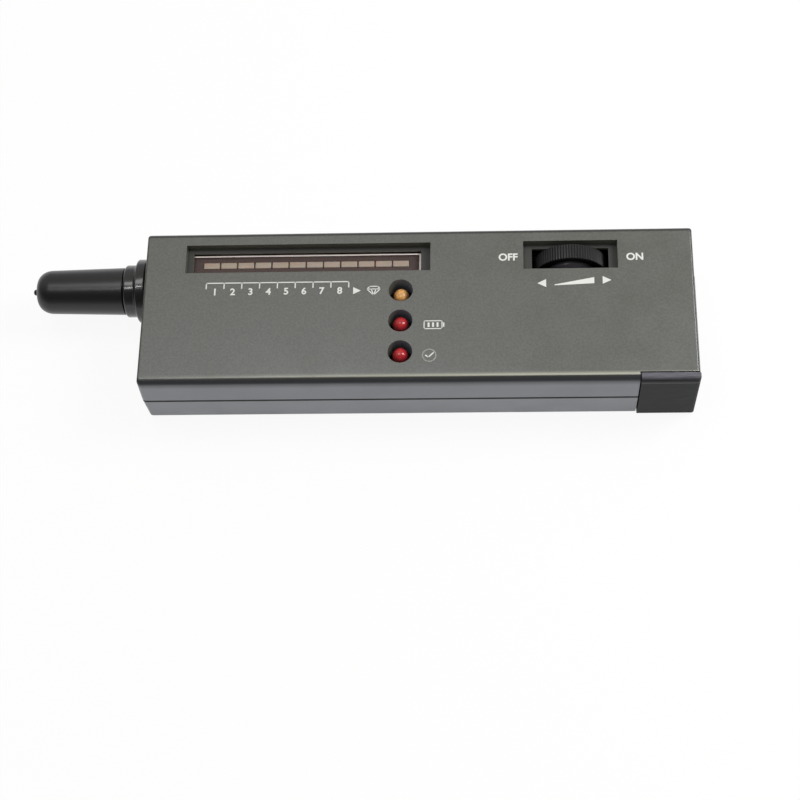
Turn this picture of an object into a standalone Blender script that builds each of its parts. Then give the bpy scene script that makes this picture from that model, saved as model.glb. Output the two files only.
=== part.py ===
"""Handheld diamond tester: a grey two-shell case with a row of bar lights, three lamps, a thumbwheel,
a battery door at one corner and a capped heated probe at one end.

+X runs from the probe to the battery end, +Y away from the battery door's side, and +Z out of the
display face. The tester lies on its rear face at Z 0, and the origin is the middle of its footprint.
"""

import math

import bmesh
import bpy
from mathutils import Vector

MM = 0.001

# Gaps, and how far cutting shapes run past what they cut
CLEARANCE = 0.3 * MM
FINE_CLEARANCE = 0.1 * MM
OVERRUN = 1.0 * MM
MERGE_DISTANCE = 0.001 * MM

# Case
CASE_LENGTH = 147.0 * MM
CASE_WIDTH = 45.4 * MM
CASE_DEPTH = 21.7 * MM
WALL = 1.8 * MM
DRAFT = 0.28 * MM
LONG_EDGE_RADIUS = 1.56 * MM
SHORT_EDGE_RADIUS = 0.7 * MM
CORNER_RADIUS = 1.0 * MM
LIP_THICKNESS = 0.8 * MM
LIP_HEIGHT = 1.0 * MM
RIB = 1.2 * MM

# Battery door
DOOR_LENGTH = 15.3 * MM
DOOR_LAP = 2.0 * MM
DOOR_PROUD = 0.2 * MM
DOOR_END_WIDTH = 31.0 * MM
DOOR_EDGE_RADIUS = 1.2 * MM
DOOR_LAP_EDGE_RADIUS = 0.35 * MM
DOOR_TONGUE_LENGTH = 7.0 * MM
DOOR_TONGUE_ROOT = 4.0 * MM
DOOR_TONGUE_THICKNESS = 1.2 * MM
DOOR_TONGUE_WIDTH = 8.0 * MM

# Recesses of the front face; the display's and the thumbwheel's share one band along the far side
BAND_FROM_FAR_SIDE = 8.4 * MM
BAND_WIDTH = 8.4 * MM
RECESS_DEPTH = 2.2 * MM
RECESS_FLOOR = 0.8 * MM
RECESS_SIDE_WALL = 1.2 * MM
RECESS_SIDE_LEDGE = 1.2 * MM

# Display
DISPLAY_START = 11.2 * MM
DISPLAY_LENGTH = 65.8 * MM
DISPLAY_LEDGE_AT_START = 1.7 * MM
DISPLAY_LEDGE_AT_END = 2.55 * MM
WINDOW_THICKNESS = 0.5 * MM
WINDOW_OVERLAP = 0.8 * MM
FRAME_INSET_AT_START = 1.0 * MM
FRAME_INSET_AT_END = 2.7 * MM
FRAME_WIDTH = 6.6 * MM
FRAME_WALL = 0.5 * MM
BAR_COUNT = 12
BAR_ROW_MARGIN = 3.23 * MM
BAR_GAP = 0.4 * MM
BAR_WIDTH = 1.6 * MM
BAR_PROUD = 0.1 * MM
BAR_EDGE_RADIUS = 0.12 * MM

# Lamps
LAMP_FROM_PROBE_END = 69.2 * MM
LAMP_FROM_NEAR_SIDE = 8.74 * MM
LAMP_FROM_FAR_SIDE = 18.56 * MM
LAMP_HOLE_RADIUS = 3.23 * MM
LAMP_TUBE_WALL = 1.0 * MM
LAMP_TUBE_DEPTH = 6.0 * MM
LAMP_RADIUS = 2.15 * MM
LAMP_SUNK = 0.65 * MM
AMBER_LAMP_DEEPER = 1.1 * MM
LAMP_LENGTH = 5.4 * MM
LAMP_FLANGE_RADIUS = 2.35 * MM
LAMP_FLANGE_THICKNESS = 0.8 * MM
LAMP_LEAD_SPACING = 2.5 * MM
LAMP_LEAD_RADIUS = 0.28 * MM

# Thumbwheel and the potentiometer that it turns
WHEEL_RECESS_FROM_BATTERY_END = 20.2 * MM
WHEEL_RECESS_LENGTH = 25.0 * MM
WHEEL_LEDGE = 2.3 * MM
WHEEL_FROM_BATTERY_END = 32.5 * MM
WHEEL_FLOOR_GAP = 1.5 * MM
WHEEL_WIDTH = 4.25 * MM
WHEEL_PROUD = 1.2 * MM
WHEEL_OFF_BAND_CENTRE = 0.4 * MM
WHEEL_TEETH = 80
WHEEL_TOOTH_DEPTH = 0.3 * MM
WHEEL_RIM = 0.95 * MM
WHEEL_DISH_DEPTH = 0.9 * MM
WHEEL_HUB_RADIUS = 4.2 * MM
WHEEL_HUB_HEIGHT = 0.7 * MM
WHEEL_BORE_RADIUS = 1.3 * MM
WHEEL_SCREW_HEAD_RADIUS = 2.0 * MM
WHEEL_SCREW_HEAD_HEIGHT = 0.9 * MM
POT_INSIDE_WHEEL = 2.3 * MM
POT_THICKNESS = 2.9 * MM
POT_SHAFT_BORE_DEPTH = 1.6 * MM
POT_LUG_COUNT = 3
POT_LUG_PITCH = 0.95 * MM
POT_LUG_WIDTH = 0.55 * MM
POT_LUG_THICKNESS = 0.5 * MM
POT_LUG_LENGTH = 6.5 * MM

# Circuit board, measured from the case's probe end and near side
BOARD_ABOVE_PARTING = 1.15 * MM
BOARD_THICKNESS = 1.6 * MM
BOARD_START = 10.0 * MM
BOARD_NOTCH_LENGTH = 4.5 * MM
BOARD_NOTCH_WIDTH = 10.0 * MM
BOARD_TO_SNAP_GAP = 3.7 * MM
BOARD_ARM_TO_WHEEL_AXLE = 11.0 * MM
BOARD_ARM_FROM_FAR_SIDE = 12.8 * MM
BOARD_EDGE_GAP = 0.8 * MM
BOARD_POST_RADIUS = 2.6 * MM
BOARD_POSTS = {
    "board_screw_1": (19.0 * MM, 20.0 * MM),
    "board_screw_2": (83.0 * MM, 9.0 * MM),
}
BOARD_SCREW_RADIUS = 0.95 * MM
BOARD_SCREW_HEAD_RADIUS = 2.0 * MM
BOARD_SCREW_HEAD_HEIGHT = 1.5 * MM
BOARD_SCREW_LENGTH = 7.5 * MM

# Parts on the board
CHIP_WIDTH = 6.4 * MM
CHIP_HEIGHT = 3.3 * MM
CHIP_STAND = 0.5 * MM
CHIP_PIN_PITCH = 2.54 * MM
CHIP_PIN_WIDTH = 0.6 * MM
CHIP_PIN_THICKNESS = 0.4 * MM
CHIP_END_MARGIN = 1.1 * MM
CHIP_EDGE_RADIUS = 0.25 * MM
DRIVER_CHIP_PIN_COUNT = 9
DRIVER_CHIP_AT = (36.0 * MM, 21.5 * MM)
AMPLIFIER_CHIP_PIN_COUNT = 4
AMPLIFIER_CHIP_AT = (28.0 * MM, 9.5 * MM)
CAPACITOR_RADIUS = 3.1 * MM
CAPACITOR_HEADROOM = 1.0 * MM
CAPACITOR_ROLL = 0.45 * MM
CAPACITOR_SLEEVE_LAP = 0.6 * MM
CAPACITORS_AT = ((82.0 * MM, 18.5 * MM), (82.0 * MM, 27.0 * MM))
TRIMMER_SIDE = 6.6 * MM
TRIMMER_HEIGHT = 3.6 * MM
TRIMMER_ROTOR_RADIUS = 2.2 * MM
TRIMMER_ROTOR_HEIGHT = 0.9 * MM
TRIMMER_ROTOR_SUNK = 0.5 * MM
TRIMMER_SLOT_WIDTH = 0.6 * MM
TRIMMER_SLOT_DEPTH = 0.5 * MM
TRIMMER_AT = (60.0 * MM, 9.5 * MM)
TRANSISTOR_RADIUS = 2.3 * MM
TRANSISTOR_HEADROOM = 1.5 * MM
TRANSISTOR_FLAT = 1.4 * MM
TRANSISTOR_LEAD_LENGTH = 1.5 * MM
TRANSISTOR_AT = (51.5 * MM, 9.5 * MM)
RESISTOR_RADIUS = 1.1 * MM
RESISTOR_LENGTH = 6.2 * MM
RESISTOR_SPAN = 9.0 * MM
RESISTOR_LEAD_RADIUS = 0.3 * MM
RESISTOR_WAIST_SHARE = 0.82
RESISTORS_AT = ((41.5 * MM, 8.0 * MM), (41.5 * MM, 12.0 * MM))
BUZZER_RADIUS = 8.6 * MM
BUZZER_HEIGHT = 5.2 * MM
BUZZER_EDGE_RADIUS = 0.6 * MM
BUZZER_HOLE_RADIUS = 1.0 * MM
BUZZER_HOLE_DEPTH = 1.0 * MM

# Case screws, placed from the corner that each is next to
SCREW_1_FROM_BATTERY_END = 12.9 * MM
SCREW_1_FROM_FAR_SIDE = 6.9 * MM
SCREW_2_FROM_PROBE_END = 7.9 * MM
SCREW_2_FROM_NEAR_SIDE = 6.4 * MM
SCREW_HOLE_RADIUS = 3.3 * MM
SCREW_SUNK = 1.4 * MM
SCREW_HEAD_RADIUS = 2.35 * MM
SCREW_HEAD_HEIGHT = 1.7 * MM
SCREW_HEAD_EDGE = 0.55 * MM
SCREW_CROSS_LENGTH = 2.7 * MM
SCREW_CROSS_WIDTH = 0.6 * MM
SCREW_CROSS_DEPTH = 0.9 * MM
SCREW_RADIUS = 1.15 * MM
SCREW_TIP_FROM_FRONT = 4.6 * MM
BOSS_WALL = 1.1 * MM

# Touch plate, a right triangle let into the rear face
PLATE_FROM_PROBE_END = 14.7 * MM
PLATE_FROM_NEAR_SIDE = 5.8 * MM
PLATE_LENGTH = 54.9 * MM
PLATE_FROM_FAR_SIDE = 7.4 * MM
PLATE_THICKNESS = 0.5 * MM
PLATE_RECESS = 0.9 * MM
PLATE_GAP = 0.35 * MM
PLATE_POST_RADIUS = 1.0 * MM
PLATE_POST_LENGTH = 3.0 * MM
PLATE_POST_SHARES = (0.3, 0.3)
PLATE_LEAD_RADIUS = 0.5 * MM

# Five domed studs in a cross
STUD_FROM_PROBE_END = 60.94 * MM
STUD_FROM_FAR_SIDE = 16.7 * MM
STUD_PITCH = 5.74 * MM
STUD_DIRECTIONS = ((0, 0), (1, 0), (-1, 0), (0, 1), (0, -1))
STUD_RADIUS = 1.2 * MM
STUD_RIM_GAP = 0.12 * MM
STUD_SUNK = 0.05 * MM
STUD_SEAT_DEPTH = 1.0 * MM
STUD_SHANK_RADIUS = 0.7 * MM
STUD_TAIL = 0.8 * MM

# Battery, its snap connector and leads
BATTERY_FROM_PROBE_END = 98.3 * MM
BATTERY_FROM_FAR_SIDE = 14.9 * MM
BATTERY_FACE_GAP = 0.4 * MM
BATTERY_EDGE_RADIUS = 1.5 * MM
BATTERY_FROM_NEAR_SIDE = 4.0 * MM
BATTERY_END_GAP = 0.5 * MM
TERMINAL_SPACING = 12.7 * MM
TERMINAL_HEIGHT = 2.1 * MM
STUD_TERMINAL_RADIUS = 2.8 * MM
SOCKET_TERMINAL_RADIUS = 4.2 * MM
SOCKET_BORE_RADIUS = 3.1 * MM
SNAP_THICKNESS = 2.2 * MM
SNAP_END_GAP = 1.25 * MM
SNAP_WIDTH = 12.0 * MM
SNAP_EDGE_RADIUS = 0.6 * MM
LEAD_RADIUS = 0.6 * MM
LEAD_SPREAD = 3.0 * MM
LEAD_BEND = 2.0 * MM

# Probe
PROBE_FROM_FAR_SIDE = 12.15 * MM
FLANGE_RADIUS = 8.7 * MM
FLANGE_THICKNESS = 2.65 * MM
FLANGE_CONE = 0.7 * MM
FLANGE_EDGE_RADIUS = 0.5 * MM
FLANGE_EDGE_ANGLE = 60
NECK_RADIUS = 7.15 * MM
NECK_LENGTH = 2.9 * MM
NECK_EDGE_RADIUS = 0.6 * MM
SPIGOT_RADIUS = 4.9 * MM
SPIGOT_LENGTH = 6.0 * MM
COLLAR_THREAD_RADIUS = 5.2 * MM
COLLAR_THREAD_LENGTH = 6.0 * MM
NUT_ACROSS_CORNERS = 14.2 * MM
NUT_THICKNESS = 2.6 * MM
BARREL_RADIUS = 3.5 * MM
BARREL_WALL = 0.9 * MM
BARREL_REACH = 16.3 * MM
BARREL_TAIL = 8.4 * MM
NOSE_CONE_LENGTH = 4.2 * MM
NOSE_TIP_RADIUS = 1.5 * MM
NOSE_SHANK_LENGTH = 2.5 * MM
NOSE_RIM = 0.5 * MM
TIP_RADIUS = 0.8 * MM
TIP_REACH = 1.9 * MM
TIP_TRAVEL = 1.2 * MM
TIP_SHOULDER_LENGTH = 1.4 * MM
HEATER_RADIUS = 1.9 * MM
HEATER_LENGTH = 5.5 * MM
SPRING_COIL_RADIUS = 1.7 * MM
SPRING_WIRE_RADIUS = 0.22 * MM
SPRING_LENGTH = 7.5 * MM
SPRING_TURN_COUNT = 7
SPRING_POINT_COUNT = 10
SPRING_SEAT_LENGTH = 2.0 * MM
SPRING_SEAT_BORE_RADIUS = 0.9 * MM
PROBE_LEAD_RADIUS = 0.45 * MM

# Probe cap
CAP_BASE_RADIUS = 6.45 * MM
CAP_END_RADIUS = 5.95 * MM
CAP_END_WALL = 1.45 * MM
CAP_TIP_GAP = 0.4 * MM
CAP_DOME_LENGTH = 4.2 * MM
CAP_FLAT_RADIUS = 2.6 * MM
CAP_BORE_END_RADIUS = 4.6 * MM
CAP_BORE_TIP_RADIUS = 3.0 * MM
CAP_NUB_RADIUS = 0.9 * MM
CAP_NUB_LENGTH = 1.4 * MM

# Sides of round shapes
LARGE_ROUND = 40
ROUND = 28
SMALL_ROUND = 16
ARC_STEPS = 6

# Sizes and places that follow from those above
NECK_REACH = CLEARANCE + FLANGE_THICKNESS + FLANGE_CONE + NECK_LENGTH
CAP_BORE_LENGTH = BARREL_REACH + NOSE_CONE_LENGTH + TIP_REACH + CAP_TIP_GAP
CAP_LENGTH = CAP_BORE_LENGTH + CAP_END_WALL
PROBE_REACH = NECK_REACH + CLEARANCE + CAP_LENGTH + CAP_NUB_LENGTH
CASE_X1 = (CASE_LENGTH + PROBE_REACH) / 2
CASE_X0 = CASE_X1 - CASE_LENGTH
CASE_Y0 = -(CASE_WIDTH - DOOR_PROUD) / 2
CASE_Y1 = CASE_Y0 + CASE_WIDTH
PARTING_Z = CASE_DEPTH / 2
FRONT_INNER_Z = CASE_DEPTH - WALL
BAND_Y = CASE_Y1 - BAND_FROM_FAR_SIDE
BOARD_TOP_Z = PARTING_Z + BOARD_ABOVE_PARTING
BOARD_LOW_Z = BOARD_TOP_Z - BOARD_THICKNESS
RECESS_LOW_Z = CASE_DEPTH - RECESS_DEPTH - RECESS_FLOOR
DISPLAY_TOP_Z = RECESS_LOW_Z - CLEARANCE - WINDOW_THICKNESS - CLEARANCE
FRAME_START = DISPLAY_START + FRAME_INSET_AT_START
FRAME_LENGTH = DISPLAY_LENGTH - FRAME_INSET_AT_START - FRAME_INSET_AT_END
BAR_PITCH = (FRAME_LENGTH - 2 * BAR_ROW_MARGIN + BAR_GAP) / BAR_COUNT
LAMP_PITCH = (CASE_WIDTH - LAMP_FROM_NEAR_SIDE - LAMP_FROM_FAR_SIDE) / 2
WHEEL_RECESS_START = CASE_LENGTH - WHEEL_RECESS_FROM_BATTERY_END - WHEEL_RECESS_LENGTH
WHEEL_RADIUS = (CASE_DEPTH + WHEEL_PROUD - WALL - WHEEL_FLOOR_GAP) / 2
WHEEL_DISH_RADIUS = WHEEL_RADIUS - WHEEL_RIM
WHEEL_X = CASE_X1 - WHEEL_FROM_BATTERY_END
WHEEL_Y = BAND_Y + WHEEL_OFF_BAND_CENTRE
WHEEL_Z = CASE_DEPTH + WHEEL_PROUD - WHEEL_RADIUS
POT_RADIUS = WHEEL_RADIUS - POT_INSIDE_WHEEL
PROBE_Y = CASE_Y1 - PROBE_FROM_FAR_SIDE
NECK_X = CASE_X0 - NECK_REACH
DOOR_X = CASE_X1 - DOOR_LENGTH
BOSS_RADIUS = SCREW_HOLE_RADIUS + BOSS_WALL
SCREW_LENGTH = CASE_DEPTH - SCREW_TIP_FROM_FRONT - SCREW_SUNK - SCREW_HEAD_HEIGHT
PLATE_WIDTH = CASE_WIDTH - PLATE_FROM_NEAR_SIDE - PLATE_FROM_FAR_SIDE
STUD_FROM_NEAR_SIDE = CASE_WIDTH - STUD_FROM_FAR_SIDE
CAPACITOR_HEIGHT = FRONT_INNER_Z - BOARD_TOP_Z - CLEARANCE - CAPACITOR_HEADROOM
TRANSISTOR_TOP_Z = FRONT_INNER_Z - TRANSISTOR_HEADROOM
TRANSISTOR_HEIGHT = TRANSISTOR_TOP_Z - BOARD_TOP_Z - CLEARANCE - TRANSISTOR_LEAD_LENGTH
BATTERY_DEPTH = CASE_DEPTH - 2 * WALL - 2 * BATTERY_FACE_GAP
BATTERY_WIDTH = CASE_WIDTH - BATTERY_FROM_NEAR_SIDE - BATTERY_FROM_FAR_SIDE
BATTERY_X1 = CASE_X1 - WALL - BATTERY_END_GAP
BATTERY_X0 = CASE_X0 + BATTERY_FROM_PROBE_END
BATTERY_Y0 = CASE_Y0 + BATTERY_FROM_NEAR_SIDE
BATTERY_Y = BATTERY_Y0 + BATTERY_WIDTH / 2
SNAP_X0 = BATTERY_X0 - TERMINAL_HEIGHT - CLEARANCE - SNAP_THICKNESS
SNAP_LENGTH = BATTERY_WIDTH - 2 * SNAP_END_GAP
BOARD_X1 = SNAP_X0 - BOARD_TO_SNAP_GAP
BARREL_X0 = NECK_X - BARREL_REACH
BARREL_BORE_RADIUS = BARREL_RADIUS - BARREL_WALL
TIP_SHOULDER_X0 = BARREL_X0 + NOSE_SHANK_LENGTH + CLEARANCE
HEATER_X1 = TIP_SHOULDER_X0 + TIP_SHOULDER_LENGTH + CLEARANCE + HEATER_LENGTH
SPRING_X1 = HEATER_X1 + TIP_TRAVEL + CLEARANCE + SPRING_LENGTH


def empty_scene():
    """Takes every object out of the open file."""
    for item in list(bpy.data.objects):
        bpy.data.objects.remove(item, do_unlink=True)


def new_collection(name):
    """Makes a collection directly under the scene."""
    group = bpy.data.collections.new(name)
    bpy.context.scene.collection.children.link(group)
    return group


empty_scene()
PARTS = new_collection("diamond_tester")
TOOLS = new_collection("cutters")


def place(name, mesh, location=(0, 0, 0)):
    """Puts a mesh into the scene as a part."""
    item = bpy.data.objects.new(name, mesh)
    item.location = location
    PARTS.objects.link(item)
    return item


def as_tool(item):
    """Turns a part into a shape that cuts or joins others."""
    PARTS.objects.unlink(item)
    TOOLS.objects.link(item)
    item.hide_render = True
    item.display_type = "WIRE"
    return item


def mesh_from(name, shape):
    """Moves a bmesh into a new mesh."""
    mesh = bpy.data.meshes.new(name)
    shape.to_mesh(mesh)
    shape.free()
    return mesh


def smooth(item):
    """Shades round faces smooth and keeps the sharp edges."""
    item.data.shade_smooth()
    item.data.set_sharp_from_angle(angle=math.radians(35))
    return item


def block(name, low, high):
    """A box between two corners."""
    low = Vector(low)
    high = Vector(high)
    shape = bmesh.new()
    bmesh.ops.create_cube(shape, size=1)
    bmesh.ops.scale(shape, vec=high - low, verts=shape.verts)
    return place(name, mesh_from(name, shape), (low + high) / 2)


def boxes(name, corners):
    """Several separate boxes in one shape, for joining to a part in one step."""
    shape = bmesh.new()
    for low, high in corners:
        low = Vector(low)
        high = Vector(high)
        made = bmesh.ops.create_cube(shape, size=1)["verts"]
        bmesh.ops.scale(shape, vec=high - low, verts=made)
        bmesh.ops.translate(shape, vec=(low + high) / 2, verts=made)
    return place(name, mesh_from(name, shape))


def drum(name, radius, start, end, sides=ROUND, end_radius=None):
    """A cylinder or cone from one point to another."""
    start = Vector(start)
    end = Vector(end)
    shape = bmesh.new()
    bmesh.ops.create_cone(
        shape, cap_ends=True, segments=sides, radius1=radius,
        radius2=radius if end_radius is None else end_radius, depth=(end - start).length,
    )
    item = place(name, mesh_from(name, shape), (start + end) / 2)
    item.rotation_euler = (end - start).to_track_quat("Z", "Y").to_euler()
    return smooth(item)


def upright(name, radius, centre, z_low, z_high, sides=ROUND):
    """An upright cylinder over a point in plan."""
    return drum(name, radius, (*centre, z_low), (*centre, z_high), sides)


def turned(name, profile, start, direction, sides=ROUND, closed=False):
    """A turned shape: profile holds (distance along the direction, radius) pairs from the start outwards."""
    points = [(radius, 0, along) for along, radius in reversed(profile)]
    edges = [(i, i + 1) for i in range(len(points) - 1)]
    if closed:
        edges.append((len(points) - 1, 0))
    mesh = bpy.data.meshes.new(name)
    mesh.from_pydata(points, edges, [])
    item = place(name, mesh, start)
    item.rotation_euler = Vector(direction).to_track_quat("Z", "Y").to_euler()
    screw = item.modifiers.new("turn", "SCREW")
    screw.steps = sides
    screw.render_steps = sides
    screw.use_merge_vertices = True
    screw.merge_threshold = MERGE_DISTANCE
    return item


def plate(name, outline, z_low, z_high):
    """A flat outline with a thickness, as a closed mesh."""
    curve = bpy.data.curves.new(name, "CURVE")
    curve.dimensions = "2D"
    curve.fill_mode = "BOTH"
    curve.extrude = (z_high - z_low) / 2
    spline = curve.splines.new("POLY")
    spline.points.add(len(outline) - 1)
    for point, (x, y) in zip(spline.points, outline):
        point.co = (x, y, 0, 1)
    spline.use_cyclic_u = True
    guide = place(name + "_outline", curve, (0, 0, (z_low + z_high) / 2))
    return as_mesh(name, guide)


def as_mesh(name, guide):
    """Replaces a curve object by a closed mesh of the same shape and place."""
    bpy.context.view_layer.update()
    evaluated = guide.evaluated_get(bpy.context.evaluated_depsgraph_get())
    mesh = bpy.data.meshes.new_from_object(evaluated)
    shape = bmesh.new()
    shape.from_mesh(mesh)
    bmesh.ops.remove_doubles(shape, verts=shape.verts, dist=MERGE_DISTANCE)
    bmesh.ops.recalc_face_normals(shape, faces=shape.faces)
    shape.to_mesh(mesh)
    shape.free()
    item = place(name, mesh)
    item.matrix_world = guide.matrix_world
    bpy.data.objects.remove(guide, do_unlink=True)
    return item


def smooth_route(stops, steps):
    """Points on a smooth curve that passes through every stop."""
    stops = [Vector(stop) for stop in stops]
    padded = [2 * stops[0] - stops[1], *stops, 2 * stops[-1] - stops[-2]]
    route = []
    for a, b, c, d in zip(padded, padded[1:], padded[2:], padded[3:]):
        for i in range(steps):
            t = i / steps
            route.append(
                (2 * b + (c - a) * t + (2 * a - 5 * b + 4 * c - d) * t ** 2
                 + (3 * b - a - 3 * c + d) * t ** 3) / 2
            )
    route.append(stops[-1])
    return route


def wire(name, points, radius, resolution=1):
    """A round wire with closed ends along the points."""
    curve = bpy.data.curves.new(name, "CURVE")
    curve.dimensions = "3D"
    curve.bevel_depth = radius
    curve.bevel_resolution = resolution
    curve.use_fill_caps = True
    spline = curve.splines.new("POLY")
    spline.points.add(len(points) - 1)
    for point, place_at in zip(spline.points, points):
        point.co = (*place_at, 1)
    return place(name, curve)


def join_or_cut(item, tool, operation):
    """Adds one Boolean step to a part."""
    step = item.modifiers.new(tool.name, "BOOLEAN")
    step.operation = operation
    step.solver = "EXACT"
    step.object = tool


def cut(item, *tools):
    """Takes the shapes out of a part."""
    for tool in tools:
        join_or_cut(item, as_tool(tool), "DIFFERENCE")


def join(item, *tools):
    """Makes the shapes one body with a part."""
    for tool in tools:
        join_or_cut(item, as_tool(tool), "UNION")


def round_edges(item, radius, segments=2):
    """Rounds every sharp edge of a part."""
    bevel = item.modifiers.new("rounding", "BEVEL")
    bevel.width = radius
    bevel.segments = segments
    bevel.limit_method = "ANGLE"
    return item


def paint(item, colour, roughness, metallic=0.0):
    """Gives a part its own material; the colour is in screen values from 0 to 255."""
    material = bpy.data.materials.new(item.name)
    material.use_nodes = True
    shader = material.node_tree.nodes["Principled BSDF"]
    linear = [((value / 255 + 0.055) / 1.055) ** 2.4 for value in colour]
    shader.inputs["Base Color"].default_value = (*linear, 1)
    shader.inputs["Roughness"].default_value = roughness
    shader.inputs["Metallic"].default_value = metallic
    item.data.materials.append(material)
    return item


def arc(centre_along, centre_radius, radius, start, end):
    """Profile points on a quarter circle between two angles, without its first point."""
    points = []
    for i in range(1, ARC_STEPS + 1):
        angle = math.radians(start + (end - start) * i / ARC_STEPS)
        points.append((centre_along + radius * math.sin(angle), centre_radius + radius * math.cos(angle)))
    return points


CASE_GREY = (104, 104, 98)
BLACK_PLASTIC = (38, 36, 35)
NICKEL = (205, 196, 178)


def case_half(name, face_z):
    """One half of the case as a solid block, drawn in towards its face, with rounded outer edges."""
    z_low, z_high = sorted((face_z, PARTING_Z))
    half = block(name, (CASE_X0, CASE_Y0, z_low), (CASE_X1, CASE_Y1, z_high))
    outward = 1 if face_z > PARTING_Z else -1
    shape = bmesh.new()
    shape.from_mesh(half.data)
    weight = shape.edges.layers.float.new("bevel_weight_edge")
    for edge in shape.edges:
        ends = [vert.co.z * outward > 0 for vert in edge.verts]
        along = edge.verts[0].co - edge.verts[1].co
        if all(ends):
            runs_lengthwise = abs(along.x) > abs(along.y)
            edge[weight] = 1 if runs_lengthwise else SHORT_EDGE_RADIUS / LONG_EDGE_RADIUS
        elif any(ends):
            edge[weight] = CORNER_RADIUS / LONG_EDGE_RADIUS
    for vert in shape.verts:
        if vert.co.z * outward > 0:
            vert.co.x -= math.copysign(DRAFT, vert.co.x)
            vert.co.y -= math.copysign(DRAFT, vert.co.y)
        else:
            vert.co.z += outward * CLEARANCE / 2
    shape.to_mesh(half.data)
    shape.free()
    bevel = half.modifiers.new("outer edges", "BEVEL")
    bevel.width = LONG_EDGE_RADIUS
    bevel.segments = 4
    bevel.limit_method = "WEIGHT"
    return half


def inset_block(name, inset, z_low, z_high):
    """A box that keeps the same distance to all four sides of the case."""
    return block(
        name, (CASE_X0 + inset, CASE_Y0 + inset, z_low), (CASE_X1 - inset, CASE_Y1 - inset, z_high)
    )


def band_block(name, start, end, half_width, z_low, z_high):
    """A box along the band of the display and thumbwheel recesses."""
    return block(
        name, (CASE_X0 + start, BAND_Y - half_width, z_low), (CASE_X0 + end, BAND_Y + half_width, z_high)
    )


def screw_points():
    """The two case screws' places in plan."""
    return {
        "case_screw_1": (CASE_X1 - SCREW_1_FROM_BATTERY_END, CASE_Y1 - SCREW_1_FROM_FAR_SIDE),
        "case_screw_2": (CASE_X0 + SCREW_2_FROM_PROBE_END, CASE_Y0 + SCREW_2_FROM_NEAR_SIDE),
    }


def lamp_points():
    """The three lamps' places in plan, the far one first."""
    x = CASE_X0 + LAMP_FROM_PROBE_END
    rows = (2, 1, 0)
    names = ("lamp_amber", "lamp_red_1", "lamp_red_2")
    return {
        name: (x, CASE_Y0 + LAMP_FROM_NEAR_SIDE + row * LAMP_PITCH) for name, row in zip(names, rows)
    }


def stud_points():
    """The five studs' places in plan."""
    x = CASE_X0 + STUD_FROM_PROBE_END
    y = CASE_Y0 + STUD_FROM_NEAR_SIDE
    return {
        f"rear_stud_{i + 1}": (x + across * STUD_PITCH, y + up * STUD_PITCH)
        for i, (across, up) in enumerate(STUD_DIRECTIONS)
    }


def board_point(at):
    """A place on the board in plan, from its distances to the case's probe end and near side."""
    return (CASE_X0 + at[0], CASE_Y0 + at[1])


def cut_door_space(shell, name):
    """Opens a shell for the battery door's side and end."""
    cut(
        shell,
        block(
            name + "_door_side",
            (DOOR_X - CLEARANCE, CASE_Y0 - OVERRUN, -OVERRUN),
            (CASE_X1 + OVERRUN, CASE_Y0 + DOOR_LAP + CLEARANCE, CASE_DEPTH + OVERRUN),
        ),
        block(
            name + "_door_end",
            (CASE_X1 - WALL - CLEARANCE, CASE_Y0 - OVERRUN, WALL),
            (CASE_X1 + OVERRUN, CASE_Y0 + DOOR_END_WIDTH + CLEARANCE, FRONT_INNER_Z),
        ),
    )


def cut_probe_hole(shell, name):
    """Cuts half of the probe collar's hole out of a shell's end wall."""
    cut(
        shell,
        drum(
            name + "_probe_hole", COLLAR_THREAD_RADIUS + CLEARANCE,
            (CASE_X0 - OVERRUN, PROBE_Y, PARTING_Z), (CASE_X0 + WALL + OVERRUN, PROBE_Y, PARTING_Z),
        ),
    )


def front_recess(shell, name, start, length, ledge_start, ledge_end):
    """A sunk well in the front face with a ledge round its opening."""
    half = BAND_WIDTH / 2
    join(
        shell,
        band_block(
            name + "_well", start - RECESS_SIDE_WALL, start + length + RECESS_SIDE_WALL,
            half + RECESS_SIDE_WALL, RECESS_LOW_Z, CASE_DEPTH - WALL / 2,
        ),
    )
    cut(
        shell,
        band_block(
            name + "_recess", start, start + length, half, CASE_DEPTH - RECESS_DEPTH, CASE_DEPTH + OVERRUN
        ),
        band_block(
            name + "_opening", start + ledge_start, start + length - ledge_end,
            half - RECESS_SIDE_LEDGE, RECESS_LOW_Z - OVERRUN, CASE_DEPTH,
        ),
    )


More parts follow.
